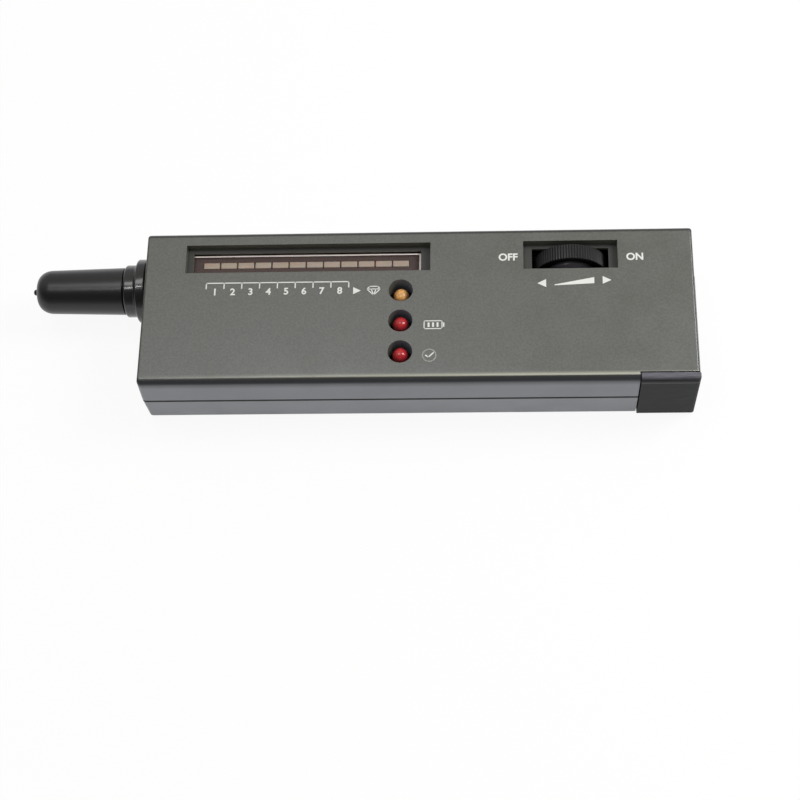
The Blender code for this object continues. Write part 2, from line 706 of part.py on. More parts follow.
def front_shell():
    """The display half of the case."""
    shell = case_half("front_shell", CASE_DEPTH)
    cut(shell, inset_block("front_cavity", WALL, PARTING_Z - OVERRUN, FRONT_INNER_Z))
    rebate = WALL - LIP_THICKNESS - CLEARANCE
    rebate_top = PARTING_Z + CLEARANCE / 2 + LIP_HEIGHT
    cut(shell, inset_block("front_rebate", rebate, PARTING_Z - OVERRUN, rebate_top))
    display_ledges = (DISPLAY_LEDGE_AT_START, DISPLAY_LEDGE_AT_END)
    front_recess(shell, "display", DISPLAY_START, DISPLAY_LENGTH, *display_ledges)
    front_recess(shell, "wheel", WHEEL_RECESS_START, WHEEL_RECESS_LENGTH, WHEEL_LEDGE, WHEEL_LEDGE)
    outside = CASE_DEPTH + OVERRUN
    tube_low = CASE_DEPTH - LAMP_TUBE_DEPTH
    tube_radius = LAMP_HOLE_RADIUS + LAMP_TUBE_WALL
    for name, point in lamp_points().items():
        join(shell, upright(name + "_tube", tube_radius, point, tube_low, CASE_DEPTH - WALL / 2))
    for name, point in lamp_points().items():
        cut(shell, upright(name + "_hole", LAMP_HOLE_RADIUS, point, tube_low - OVERRUN, outside))
    for name, point in screw_points().items():
        boss_low = PARTING_Z + CLEARANCE / 2
        hole_high = SCREW_SUNK + SCREW_HEAD_HEIGHT + SCREW_LENGTH + CLEARANCE
        pilot_radius = SCREW_RADIUS + CLEARANCE
        join(shell, upright(name + "_front_boss", BOSS_RADIUS, point, boss_low, CASE_DEPTH - WALL / 2))
        cut(shell, upright(name + "_pilot", pilot_radius, point, boss_low - OVERRUN, hole_high, SMALL_ROUND))
    for name, at in BOARD_POSTS.items():
        post = board_point(at)
        post_low = BOARD_TOP_Z + CLEARANCE
        hole_high = BOARD_LOW_Z + BOARD_SCREW_LENGTH
        hole_radius = BOARD_SCREW_RADIUS + CLEARANCE
        join(shell, upright(name + "_post", BOARD_POST_RADIUS, post, post_low, CASE_DEPTH - WALL / 2))
        cut(shell, upright(name + "_hole", hole_radius, post, post_low - OVERRUN, hole_high, SMALL_ROUND))
    cut_probe_hole(shell, "front")
    cut_door_space(shell, "front")
    return paint(shell, CASE_GREY, 0.5)


def triangle(inset):
    """The touch plate's outline, grown or shrunk by an inset on all three sides."""
    x0 = CASE_X0 + PLATE_FROM_PROBE_END
    y0 = CASE_Y0 + PLATE_FROM_NEAR_SIDE
    slant = math.hypot(PLATE_LENGTH, PLATE_WIDTH)
    along_x = inset * (1 + PLATE_LENGTH / PLATE_WIDTH + slant / PLATE_WIDTH)
    along_y = inset * (1 + PLATE_WIDTH / PLATE_LENGTH + slant / PLATE_LENGTH)
    corner = (x0 + inset, y0 + inset)
    return [
        corner,
        (corner[0] + PLATE_LENGTH - along_x, corner[1]),
        (corner[0], corner[1] + PLATE_WIDTH - along_y),
    ]


def plate_post_point():
    """Where the touch plate's contact post passes through the rear shell."""
    return (
        CASE_X0 + PLATE_FROM_PROBE_END + PLATE_LENGTH * PLATE_POST_SHARES[0],
        CASE_Y0 + PLATE_FROM_NEAR_SIDE + PLATE_WIDTH * PLATE_POST_SHARES[1],
    )


def battery_ribs(shell):
    """Two upright ribs of the rear shell that wall off the battery."""
    rib_y = BATTERY_Y0 + BATTERY_WIDTH + CLEARANCE
    rib_x1 = SNAP_X0 - CLEARANCE
    rib_top = PARTING_Z - CLEARANCE
    join(
        shell,
        block("battery_side_rib", (BATTERY_X0, rib_y, WALL / 2), (BATTERY_X1 - RIB, rib_y + RIB, rib_top)),
        block(
            "battery_end_rib", (rib_x1 - RIB, CASE_Y0 + WALL / 2, WALL / 2),
            (rib_x1, rib_y + RIB, BOARD_LOW_Z - CLEARANCE - LEAD_RADIUS * 4),
        ),
    )


def rear_shell():
    """The half of the case that the tester lies on."""
    shell = case_half("rear_shell", 0)
    cut(shell, inset_block("rear_cavity", WALL, WALL, PARTING_Z + OVERRUN))
    lip_low = PARTING_Z - LIP_HEIGHT
    lip_high = PARTING_Z - CLEARANCE / 2 + LIP_HEIGHT
    lip = inset_block("rear_lip", WALL - LIP_THICKNESS, lip_low, lip_high)
    cut(lip, inset_block("rear_lip_bore", WALL, lip_low - OVERRUN, lip_high + OVERRUN))
    join(shell, lip)
    battery_ribs(shell)
    for name, point in screw_points().items():
        seat_z = SCREW_SUNK + SCREW_HEAD_HEIGHT + CLEARANCE
        boss_high = PARTING_Z - CLEARANCE / 2
        hole_radius = SCREW_RADIUS + CLEARANCE
        join(shell, upright(name + "_rear_boss", BOSS_RADIUS, point, WALL / 2, boss_high))
        cut(shell, upright(name + "_sink", SCREW_HOLE_RADIUS, point, -OVERRUN, seat_z))
        cut(shell, upright(name + "_clearance", hole_radius, point, 0, boss_high + OVERRUN, SMALL_ROUND))
    cut(shell, plate("plate_recess", triangle(-PLATE_GAP), -OVERRUN, PLATE_RECESS))
    post_radius = PLATE_POST_RADIUS + CLEARANCE
    through = WALL + OVERRUN
    cut(shell, upright("plate_post_hole", post_radius, plate_post_point(), -OVERRUN, through, SMALL_ROUND))
    for name, point in stud_points().items():
        seat_radius = STUD_RADIUS + STUD_RIM_GAP
        shank_radius = STUD_SHANK_RADIUS + FINE_CLEARANCE
        seat_z = STUD_SEAT_DEPTH + CLEARANCE
        cut(shell, upright(name + "_seat", seat_radius, point, -OVERRUN, seat_z, SMALL_ROUND))
        cut(shell, upright(name + "_hole", shank_radius, point, 0, through, SMALL_ROUND))
    cut_probe_hole(shell, "rear")
    cut_door_space(shell, "rear")
    return paint(shell, CASE_GREY, 0.5)


def battery_door():
    """The black corner door: a channel-shaped side, an end wall between the plates and a spring tongue."""
    y_out = CASE_Y0 - DOOR_PROUD
    door = block("battery_door", (DOOR_X, y_out, 0), (CASE_X1, CASE_Y0 + DOOR_LAP, CASE_DEPTH))
    shape = bmesh.new()
    shape.from_mesh(door.data)
    weight = shape.edges.layers.float.new("bevel_weight_edge")
    for edge in shape.edges:
        on_outside = all(vert.co.y < 0 for vert in edge.verts)
        on_end = all(vert.co.x > 0 for vert in edge.verts)
        lengthwise = abs(edge.verts[0].co.x - edge.verts[1].co.x) > 0
        if on_outside and lengthwise:
            edge[weight] = 1
        elif on_outside and on_end:
            edge[weight] = CORNER_RADIUS / DOOR_EDGE_RADIUS
        elif on_end:
            edge[weight] = DOOR_LAP_EDGE_RADIUS / DOOR_EDGE_RADIUS
    shape.to_mesh(door.data)
    shape.free()
    bevel = door.modifiers.new("outer edges", "BEVEL")
    bevel.width = DOOR_EDGE_RADIUS
    bevel.segments = 4
    bevel.limit_method = "WEIGHT"
    inner_y = y_out + WALL
    cut(
        door,
        block(
            "door_hollow", (DOOR_X - OVERRUN, inner_y, WALL),
            (CASE_X1 - WALL, CASE_Y0 + DOOR_LAP + OVERRUN, FRONT_INNER_Z),
        ),
    )
    tongue_y = CASE_Y0 + WALL + CLEARANCE
    tongue_z = PARTING_Z - DOOR_TONGUE_WIDTH / 2
    join(
        door,
        block(
            "door_end", (CASE_X1 - WALL, y_out + WALL / 2, WALL + CLEARANCE),
            (CASE_X1, CASE_Y0 + DOOR_END_WIDTH, FRONT_INNER_Z - CLEARANCE),
        ),
        block(
            "door_tongue_root", (DOOR_X, y_out + WALL / 2, tongue_z),
            (DOOR_X + DOOR_TONGUE_ROOT, tongue_y + DOOR_TONGUE_THICKNESS / 2, tongue_z + DOOR_TONGUE_WIDTH),
        ),
        block(
            "door_tongue", (DOOR_X - DOOR_TONGUE_LENGTH, tongue_y, tongue_z),
            (DOOR_X + DOOR_TONGUE_ROOT, tongue_y + DOOR_TONGUE_THICKNESS, tongue_z + DOOR_TONGUE_WIDTH),
        ),
    )
    return paint(door, BLACK_PLASTIC, 0.42)


def case_screws():
    """Two pan-head cross screws, heads sunk in the rear face."""
    for name, (x, y) in screw_points().items():
        neck = SCREW_HEAD_RADIUS - SCREW_HEAD_EDGE
        screw = turned(
            name,
            [(0, 0), (0, neck)]
            + arc(SCREW_HEAD_EDGE, neck, SCREW_HEAD_EDGE, -90, 0)
            + [
                (SCREW_HEAD_HEIGHT, SCREW_HEAD_RADIUS),
                (SCREW_HEAD_HEIGHT, SCREW_RADIUS),
                (SCREW_HEAD_HEIGHT + SCREW_LENGTH - SCREW_RADIUS, SCREW_RADIUS),
                (SCREW_HEAD_HEIGHT + SCREW_LENGTH, 0),
            ],
            (x, y, SCREW_SUNK), (0, 0, 1), 24,
        )
        half_long = SCREW_CROSS_LENGTH / 2
        half_wide = SCREW_CROSS_WIDTH / 2
        for i, (across, up) in enumerate(((half_long, half_wide), (half_wide, half_long))):
            cut(
                screw,
                block(
                    f"{name}_cross_{i}", (x - across, y - up, SCREW_SUNK - OVERRUN),
                    (x + across, y + up, SCREW_SUNK + SCREW_CROSS_DEPTH),
                ),
            )
        paint(screw, NICKEL, 0.3, 1.0)


def probe_collar():
    """Black collar with a thread, a flange, a neck and the cap's spigot, bored through for the barrel."""
    flange = COLLAR_THREAD_LENGTH + CLEARANCE
    flange_end = flange + FLANGE_THICKNESS
    neck = flange_end + FLANGE_CONE
    neck_end = neck + NECK_LENGTH
    spigot_end = neck_end + SPIGOT_LENGTH
    rim = FLANGE_RADIUS - FLANGE_EDGE_RADIUS
    neck_rim = NECK_RADIUS - NECK_EDGE_RADIUS
    bore = BARREL_RADIUS + CLEARANCE
    profile = [(0, COLLAR_THREAD_RADIUS), (flange, COLLAR_THREAD_RADIUS), (flange, rim)]
    profile += arc(flange + FLANGE_EDGE_RADIUS, rim, FLANGE_EDGE_RADIUS, -90, 0)
    profile += [(flange_end - FLANGE_EDGE_RADIUS, FLANGE_RADIUS)]
    profile += arc(flange_end - FLANGE_EDGE_RADIUS, rim, FLANGE_EDGE_RADIUS, 0, FLANGE_EDGE_ANGLE)
    profile += [(neck, NECK_RADIUS), (neck_end - NECK_EDGE_RADIUS, NECK_RADIUS)]
    profile += arc(neck_end - NECK_EDGE_RADIUS, neck_rim, NECK_EDGE_RADIUS, 0, 90)
    profile += [
        (neck_end, SPIGOT_RADIUS), (spigot_end - FLANGE_EDGE_RADIUS, SPIGOT_RADIUS),
        (spigot_end, SPIGOT_RADIUS - FLANGE_EDGE_RADIUS), (spigot_end, bore), (0, bore),
    ]
    start = (CASE_X0 + COLLAR_THREAD_LENGTH, PROBE_Y, PARTING_Z)
    collar = turned("probe_collar", profile, start, (-1, 0, 0), LARGE_ROUND, closed=True)
    paint(collar, BLACK_PLASTIC, 0.3)


def collar_nut():
    """Hexagon nut that clamps the collar to the case's end wall."""
    x = CASE_X0 + WALL + CLEARANCE
    nut = drum(
        "collar_nut", NUT_ACROSS_CORNERS / 2,
        (x, PROBE_Y, PARTING_Z), (x + NUT_THICKNESS, PROBE_Y, PARTING_Z), 6,
    )
    cut(
        nut,
        drum(
            "nut_bore", COLLAR_THREAD_RADIUS + CLEARANCE,
            (x - OVERRUN, PROBE_Y, PARTING_Z), (x + NUT_THICKNESS + OVERRUN, PROBE_Y, PARTING_Z),
        ),
    )
    paint(nut, NICKEL, 0.35, 1.0)


def probe_barrel():
    """Metal tube that carries the probe's working parts."""
    start = CASE_X0 + BARREL_TAIL
    length = start - BARREL_X0
    profile = [
        (0, BARREL_RADIUS), (length, BARREL_RADIUS), (length, BARREL_BORE_RADIUS), (0, BARREL_BORE_RADIUS),
    ]
    barrel = turned("probe_barrel", profile, (start, PROBE_Y, PARTING_Z), (-1, 0, 0), ROUND, closed=True)
    paint(barrel, NICKEL, 0.3, 1.0)


def probe_nose():
    """Insulating cone in the barrel's end, bored for the tip."""
    shank = BARREL_BORE_RADIUS - CLEARANCE
    bore = TIP_RADIUS + CLEARANCE
    rim = NOSE_SHANK_LENGTH + CLEARANCE
    end = rim + NOSE_CONE_LENGTH
    profile = [
        (0, shank), (rim, shank), (rim, BARREL_RADIUS), (rim + NOSE_RIM, BARREL_RADIUS),
        (end, NOSE_TIP_RADIUS), (end, bore), (0, bore),
    ]
    start = (BARREL_X0 + NOSE_SHANK_LENGTH, PROBE_Y, PARTING_Z)
    nose = turned("probe_nose", profile, start, (-1, 0, 0), ROUND, closed=True)
    paint(nose, (214, 208, 192), 0.45)


def probe_tip():
    """Copper contact tip with a shoulder behind the nose; it gives way into the barrel."""
    nose_length = NOSE_SHANK_LENGTH + CLEARANCE + NOSE_CONE_LENGTH
    length = TIP_SHOULDER_LENGTH + CLEARANCE + nose_length + TIP_REACH
    shoulder = BARREL_BORE_RADIUS - CLEARANCE
    profile = [
        (0, 0), (0, shoulder), (TIP_SHOULDER_LENGTH, shoulder),
        (TIP_SHOULDER_LENGTH, TIP_RADIUS), (length - TIP_RADIUS, TIP_RADIUS),
    ]
    profile += arc(length - TIP_RADIUS, 0, TIP_RADIUS, 0, 90)
    profile[-1] = (length, 0)
    start = (TIP_SHOULDER_X0 + TIP_SHOULDER_LENGTH, PROBE_Y, PARTING_Z)
    tip = turned("probe_tip", profile, start, (-1, 0, 0), SMALL_ROUND)
    paint(tip, (186, 112, 72), 0.3, 1.0)


def tip_heater():
    """Ceramic heater and sensor behind the tip's shoulder."""
    heater = drum(
        "tip_heater", HEATER_RADIUS, (HEATER_X1 - HEATER_LENGTH, PROBE_Y, PARTING_Z),
        (HEATER_X1, PROBE_Y, PARTING_Z), SMALL_ROUND,
    )
    paint(heater, (226, 222, 210), 0.6)


def tip_spring():
    """Coil spring that pushes the heater and tip forward, with room for the tip's travel in front of it."""
    steps = SPRING_TURN_COUNT * SPRING_POINT_COUNT
    length = SPRING_LENGTH - 2 * SPRING_WIRE_RADIUS
    points = []
    for i in range(steps + 1):
        angle = 2 * math.pi * i / SPRING_POINT_COUNT
        points.append((
            SPRING_X1 - SPRING_LENGTH + SPRING_WIRE_RADIUS + length * i / steps,
            PROBE_Y + SPRING_COIL_RADIUS * math.cos(angle),
            PARTING_Z + SPRING_COIL_RADIUS * math.sin(angle),
        ))
    paint(wire("tip_spring", points, SPRING_WIRE_RADIUS), (180, 180, 178), 0.3, 1.0)


def spring_seat():
    """Ring fixed in the barrel that the spring stands on."""
    x = SPRING_X1 + CLEARANCE
    profile = [
        (0, BARREL_BORE_RADIUS - CLEARANCE), (SPRING_SEAT_LENGTH, BARREL_BORE_RADIUS - CLEARANCE),
        (SPRING_SEAT_LENGTH, SPRING_SEAT_BORE_RADIUS), (0, SPRING_SEAT_BORE_RADIUS),
    ]
    seat = turned("spring_seat", profile, (x, PROBE_Y, PARTING_Z), (1, 0, 0), SMALL_ROUND, closed=True)
    paint(seat, (60, 58, 56), 0.5)


def probe_cap():
    """Black push-on cap over the probe, slightly tapered, with a rounded end and a nub on it."""
    dome = CAP_LENGTH - CAP_DOME_LENGTH
    profile = [
        (CAP_BORE_LENGTH, 0), (CAP_BORE_LENGTH, CAP_BORE_TIP_RADIUS), (dome, CAP_BORE_END_RADIUS),
        (SPIGOT_LENGTH + CLEARANCE, SPIGOT_RADIUS + CLEARANCE), (0, SPIGOT_RADIUS + CLEARANCE),
        (0, CAP_BASE_RADIUS), (dome, CAP_END_RADIUS),
    ]
    for i in range(1, 2 * ARC_STEPS + 1):
        angle = math.pi / 2 * i / (2 * ARC_STEPS)
        profile.append((
            dome + CAP_DOME_LENGTH * math.sin(angle),
            CAP_FLAT_RADIUS + (CAP_END_RADIUS - CAP_FLAT_RADIUS) * math.cos(angle),
        ))
    profile += [
        (CAP_LENGTH, CAP_NUB_RADIUS), (CAP_LENGTH + CAP_NUB_LENGTH / 2, CAP_NUB_RADIUS),
        (CAP_LENGTH + CAP_NUB_LENGTH, CAP_NUB_RADIUS / 2), (CAP_LENGTH + CAP_NUB_LENGTH, 0),
    ]
    start = (NECK_X - CLEARANCE, PROBE_Y, PARTING_Z)
    paint(turned("probe_cap", profile, start, (-1, 0, 0), LARGE_ROUND), BLACK_PLASTIC, 0.28)


def display_window():
    """Tinted window under the display's recess."""
    window = band_block(
        "display_window", DISPLAY_START + DISPLAY_LEDGE_AT_START - WINDOW_OVERLAP,
        DISPLAY_START + DISPLAY_LENGTH - DISPLAY_LEDGE_AT_END + WINDOW_OVERLAP,
        BAND_WIDTH / 2 - RECESS_SIDE_LEDGE + WINDOW_OVERLAP,
        RECESS_LOW_Z - CLEARANCE - WINDOW_THICKNESS, RECESS_LOW_Z - CLEARANCE,
    )
    paint(window, (70, 40, 34), 0.12)


def display_module():
    """The pale frame under the window, with a dark mask and a row of bar lights in it."""
    low = BOARD_TOP_Z + CLEARANCE
    frame_end = FRAME_START + FRAME_LENGTH
    inner = FRAME_WIDTH / 2 - FRAME_WALL
    frame = band_block("display_frame", FRAME_START, frame_end, FRAME_WIDTH / 2, low, DISPLAY_TOP_Z)
    hollow = band_block(
        "frame_hollow", FRAME_START + FRAME_WALL, frame_end - FRAME_WALL, inner,
        low - OVERRUN, DISPLAY_TOP_Z + OVERRUN,
    )
    cut(frame, hollow)
    paint(frame, (214, 208, 200), 0.5)
    inset = FRAME_WALL + FINE_CLEARANCE
    mask = band_block(
        "display_mask", FRAME_START + inset, frame_end - inset, inner - FINE_CLEARANCE, low, DISPLAY_TOP_Z
    )
    row_length = BAR_COUNT * BAR_PITCH - BAR_GAP
    row_start = FRAME_START + (FRAME_LENGTH - row_length) / 2
    slot = band_block(
        "mask_slot", row_start - FINE_CLEARANCE, row_start + row_length + FINE_CLEARANCE,
        BAR_WIDTH / 2 + FINE_CLEARANCE, low - OVERRUN, DISPLAY_TOP_Z + OVERRUN,
    )
    cut(mask, slot)
    paint(mask, (92, 74, 66), 0.6)
    for i in range(BAR_COUNT):
        start = row_start + i * BAR_PITCH
        bar = band_block(
            f"bar_light_{i + 1:02d}", start, start + BAR_PITCH - BAR_GAP, BAR_WIDTH / 2,
            low, DISPLAY_TOP_Z + BAR_PROUD,
        )
        round_edges(bar, BAR_EDGE_RADIUS, 1)
        paint(bar, (206, 194, 182), 0.35)


def lamps():
    """Three domed lamps that stand on their leads behind the holes of the front face."""
    colours = {"lamp_amber": (232, 150, 60), "lamp_red_1": (176, 28, 34), "lamp_red_2": (176, 28, 34)}
    for name, (x, y) in lamp_points().items():
        flange_z = CASE_DEPTH - LAMP_SUNK - LAMP_LENGTH
        if name == "lamp_amber":
            flange_z -= AMBER_LAMP_DEEPER
        profile = [
            (0, 0), (0, LAMP_FLANGE_RADIUS), (LAMP_FLANGE_THICKNESS, LAMP_FLANGE_RADIUS),
            (LAMP_FLANGE_THICKNESS, LAMP_RADIUS), (LAMP_LENGTH - LAMP_RADIUS, LAMP_RADIUS),
        ]
        profile += arc(LAMP_LENGTH - LAMP_RADIUS, 0, LAMP_RADIUS, 0, 90)
        profile[-1] = (LAMP_LENGTH, 0)
        lamp = turned(name, profile, (x, y, flange_z), (0, 0, 1), 24)
        half = LAMP_LEAD_RADIUS
        leads = [
            (
                (x + side * LAMP_LEAD_SPACING / 2 - half, y - half, BOARD_TOP_Z + CLEARANCE),
                (x + side * LAMP_LEAD_SPACING / 2 + half, y + half, flange_z + LAMP_FLANGE_THICKNESS / 2),
            )
            for side in (-1, 1)
        ]
        join(lamp, boxes(name + "_leads", leads))
        paint(lamp, colours[name], 0.2)


def axle_drum(name, radius, y_low, y_high, sides=ROUND):
    """A cylinder round the thumbwheel's axle."""
    return drum(name, radius, (WHEEL_X, y_low, WHEEL_Z), (WHEEL_X, y_high, WHEEL_Z), sides)


def thumbwheel():
    """Knurled thumbwheel with a dished near face and a hub; its axle lies along Y."""
    outline = []
    for i in range(2 * WHEEL_TEETH):
        radius = WHEEL_RADIUS - WHEEL_TOOTH_DEPTH * (i % 2)
        angle = math.pi * i / WHEEL_TEETH
        outline.append((radius * math.cos(angle), radius * math.sin(angle)))
    wheel = plate("thumbwheel", outline, 0, WHEEL_WIDTH)
    wheel.data.transform(wheel.matrix_world)
    wheel.location = (WHEEL_X, WHEEL_Y + WHEEL_WIDTH / 2, WHEEL_Z)
    wheel.rotation_euler = (math.radians(90), 0, 0)
    near = WHEEL_Y - WHEEL_WIDTH / 2
    far = WHEEL_Y + WHEEL_WIDTH / 2
    dish = near + WHEEL_DISH_DEPTH
    hub = dish - WHEEL_HUB_HEIGHT
    cut(wheel, axle_drum("wheel_dish", WHEEL_DISH_RADIUS, near - OVERRUN, dish))
    join(wheel, axle_drum("wheel_hub", WHEEL_HUB_RADIUS, hub, dish + WHEEL_HUB_HEIGHT))
    cut(wheel, axle_drum("wheel_bore", WHEEL_BORE_RADIUS, near - OVERRUN, far + OVERRUN, SMALL_ROUND))
    paint(wheel, (44, 43, 43), 0.5)


def wheel_screw():
    """Screw through the thumbwheel's hub into the potentiometer's bore."""
    hub = WHEEL_Y - WHEEL_WIDTH / 2 + WHEEL_DISH_DEPTH - WHEEL_HUB_HEIGHT
    head = hub - CLEARANCE - WHEEL_SCREW_HEAD_HEIGHT
    shank = WHEEL_BORE_RADIUS - CLEARANCE
    length = WHEEL_Y + WHEEL_WIDTH / 2 + POT_SHAFT_BORE_DEPTH - head
    profile = [
        (0, 0), (0, WHEEL_SCREW_HEAD_RADIUS - CLEARANCE), (CLEARANCE, WHEEL_SCREW_HEAD_RADIUS),
        (WHEEL_SCREW_HEAD_HEIGHT, WHEEL_SCREW_HEAD_RADIUS), (WHEEL_SCREW_HEAD_HEIGHT, shank),
        (length, shank), (length, 0),
    ]
    screw = turned("wheel_screw", profile, (WHEEL_X, head, WHEEL_Z), (0, 1, 0), SMALL_ROUND)
    paint(screw, NICKEL, 0.3, 1.0)


def volume_pot():
    """Potentiometer behind the thumbwheel, flat on top under the recess, with three lugs on the board."""
    y_low = WHEEL_Y + WHEEL_WIDTH / 2 + CLEARANCE
    y_high = y_low + POT_THICKNESS
    top = RECESS_LOW_Z - CLEARANCE
    pot = axle_drum("volume_pot", POT_RADIUS, y_low, y_high)
    cut(
        pot,
        block(
            "pot_flat", (WHEEL_X - POT_RADIUS - OVERRUN, y_low - OVERRUN, top),
            (WHEEL_X + POT_RADIUS + OVERRUN, y_high + OVERRUN, WHEEL_Z + POT_RADIUS + OVERRUN),
        ),
        axle_drum("pot_bore", WHEEL_BORE_RADIUS, y_low - OVERRUN, y_low + POT_SHAFT_BORE_DEPTH, SMALL_ROUND),
    )
    lugs = []
    for i in range(POT_LUG_COUNT):
        y = (y_low + y_high) / 2 + (i - (POT_LUG_COUNT - 1) / 2) * POT_LUG_PITCH
        z = BOARD_TOP_Z + CLEARANCE
        x = WHEEL_X - POT_RADIUS
        lugs.append((
            (x - POT_LUG_LENGTH, y - POT_LUG_WIDTH / 2, z),
            (x + POT_LUG_WIDTH, y + POT_LUG_WIDTH / 2, z + POT_LUG_THICKNESS),
        ))
    join(pot, boxes("pot_lugs", lugs))
    paint(pot, (150, 118, 74), 0.5)


def circuit_board():
    """Circuit board with a notch round one screw boss and an arm that reaches the potentiometer."""
    y_low = CASE_Y0 + WALL + BOARD_EDGE_GAP
    y_high = CASE_Y1 - WALL - BOARD_EDGE_GAP
    y_arm = CASE_Y1 - BOARD_ARM_FROM_FAR_SIDE
    x_low = CASE_X0 + BOARD_START
    x_notch = x_low + BOARD_NOTCH_LENGTH
    x_end = BOARD_X1
    x_arm = WHEEL_X - BOARD_ARM_TO_WHEEL_AXLE
    outline = [
        (x_notch, y_low), (x_end, y_low), (x_end, y_arm), (x_arm, y_arm), (x_arm, y_high), (x_low, y_high),
        (x_low, y_low + BOARD_NOTCH_WIDTH), (x_notch, y_low + BOARD_NOTCH_WIDTH),
    ]
    board = plate("circuit_board", outline, BOARD_LOW_Z, BOARD_TOP_Z)
    hole_radius = BOARD_SCREW_RADIUS + CLEARANCE
    z_low = BOARD_LOW_Z - OVERRUN
    z_high = BOARD_TOP_Z + OVERRUN
    for name, at in BOARD_POSTS.items():
        cut(board, upright(name + "_board_hole", hole_radius, board_point(at), z_low, z_high, SMALL_ROUND))
    paint(board, (62, 96, 58), 0.45)


def board_screws():
    """Two small screws that hold the board to the front shell's posts."""
    for name, at in BOARD_POSTS.items():
        x, y = board_point(at)
        head = BOARD_LOW_Z - CLEARANCE - BOARD_SCREW_HEAD_HEIGHT
        length = BOARD_SCREW_HEAD_HEIGHT + BOARD_SCREW_LENGTH
        profile = [
            (0, 0), (0, BOARD_SCREW_HEAD_RADIUS - CLEARANCE), (CLEARANCE, BOARD_SCREW_HEAD_RADIUS),
            (BOARD_SCREW_HEAD_HEIGHT, BOARD_SCREW_HEAD_RADIUS),
            (BOARD_SCREW_HEAD_HEIGHT, BOARD_SCREW_RADIUS), (length, BOARD_SCREW_RADIUS), (length, 0),
        ]
        paint(turned(name, profile, (x, y, head), (0, 0, 1), SMALL_ROUND), NICKEL, 0.3, 1.0)


def chip(name, at, pins_a_side):
    """A two-row chip: a black body with flat pins down to the board."""
    x, y = board_point(at)
    length = (pins_a_side - 1) * CHIP_PIN_PITCH + 2 * CHIP_END_MARGIN
    low = BOARD_TOP_Z + CLEARANCE
    body = block(
        name, (x - length / 2, y - CHIP_WIDTH / 2, low + CHIP_STAND),
        (x + length / 2, y + CHIP_WIDTH / 2, low + CHIP_STAND + CHIP_HEIGHT),
    )
    round_edges(body, CHIP_EDGE_RADIUS, 1)
    pins = []
    for side in (-1, 1):
        for i in range(pins_a_side):
            pin_x = x + (i - (pins_a_side - 1) / 2) * CHIP_PIN_PITCH
            pin_y = y + side * (CHIP_WIDTH + CHIP_PIN_THICKNESS) / 2
            pins.append((
                (pin_x - CHIP_PIN_WIDTH / 2, pin_y - CHIP_PIN_THICKNESS, low),
                (pin_x + CHIP_PIN_WIDTH / 2, pin_y + CHIP_PIN_THICKNESS, low + CHIP_STAND + CHIP_HEIGHT / 2),
            ))
    join(body, boxes(name + "_pins", pins))
    paint(body, (34, 34, 36), 0.45)


def capacitors():
    """Two upright capacitors with rolled edges and a groove near the foot."""
    for i, at in enumerate(CAPACITORS_AT):
        x, y = board_point(at)
        groove = CAPACITOR_RADIUS - CAPACITOR_ROLL
        top = CAPACITOR_HEIGHT - CAPACITOR_ROLL
        profile = [
            (0, 0), (0, CAPACITOR_RADIUS), (CAPACITOR_SLEEVE_LAP, CAPACITOR_RADIUS),
            (CAPACITOR_SLEEVE_LAP + CAPACITOR_ROLL, groove),
            (CAPACITOR_SLEEVE_LAP + 2 * CAPACITOR_ROLL, CAPACITOR_RADIUS), (top, CAPACITOR_RADIUS),
        ]
        profile += arc(top, groove, CAPACITOR_ROLL, 0, 90)
        profile.append((CAPACITOR_HEIGHT, 0))
        start = (x, y, BOARD_TOP_Z + CLEARANCE)
        paint(turned(f"capacitor_{i + 1}", profile, start, (0, 0, 1), 20), (36, 44, 82), 0.35)


def trimmer():
    """Square trimmer and its slotted rotor, which sits in a round pocket."""
    x, y = board_point(TRIMMER_AT)
    low = BOARD_TOP_Z + CLEARANCE
    top = low + TRIMMER_HEIGHT
    half = TRIMMER_SIDE / 2
    body = block("trimmer_body", (x - half, y - half, low), (x + half, y + half, top))
    pocket = TRIMMER_ROTOR_RADIUS + CLEARANCE
    rotor_low = top - TRIMMER_ROTOR_SUNK
    rotor_top = rotor_low + TRIMMER_ROTOR_HEIGHT
    cut(body, upright("trimmer_pocket", pocket, (x, y), rotor_low - CLEARANCE, top + OVERRUN))
    paint(body, (44, 78, 140), 0.4)
    rotor = upright("trimmer_rotor", TRIMMER_ROTOR_RADIUS, (x, y), rotor_low, rotor_top, 24)
    cut(
        rotor,
        block(
            "rotor_slot", (x - pocket, y - TRIMMER_SLOT_WIDTH / 2, rotor_top - TRIMMER_SLOT_DEPTH),
            (x + pocket, y + TRIMMER_SLOT_WIDTH / 2, rotor_top + OVERRUN),
        ),
    )
    paint(rotor, (222, 216, 204), 0.4)


def transistor():
    """Small D-shaped transistor on three leads."""
    x, y = board_point(TRANSISTOR_AT)
    flat = math.asin(TRANSISTOR_FLAT / TRANSISTOR_RADIUS)
    sweep = math.pi + 2 * flat
    outline = []
    for i in range(SMALL_ROUND + 1):
        angle = -flat + sweep * i / SMALL_ROUND
        outline.append((
            x + TRANSISTOR_RADIUS * math.cos(angle), y + TRANSISTOR_RADIUS * math.sin(angle)
        ))
    low = BOARD_TOP_Z + CLEARANCE
    body_low = low + TRANSISTOR_LEAD_LENGTH
    body = plate("transistor", outline, body_low, body_low + TRANSISTOR_HEIGHT)
    half = LAMP_LEAD_RADIUS
    leads = [
        (
            (x + side * TRANSISTOR_FLAT - half, y - half, low),
            (x + side * TRANSISTOR_FLAT + half, y + half, body_low + TRANSISTOR_LEAD_LENGTH),
        )
        for side in (-1, 0, 1)
    ]
    join(body, boxes("transistor_leads", leads))
    paint(body, (36, 36, 38), 0.4)


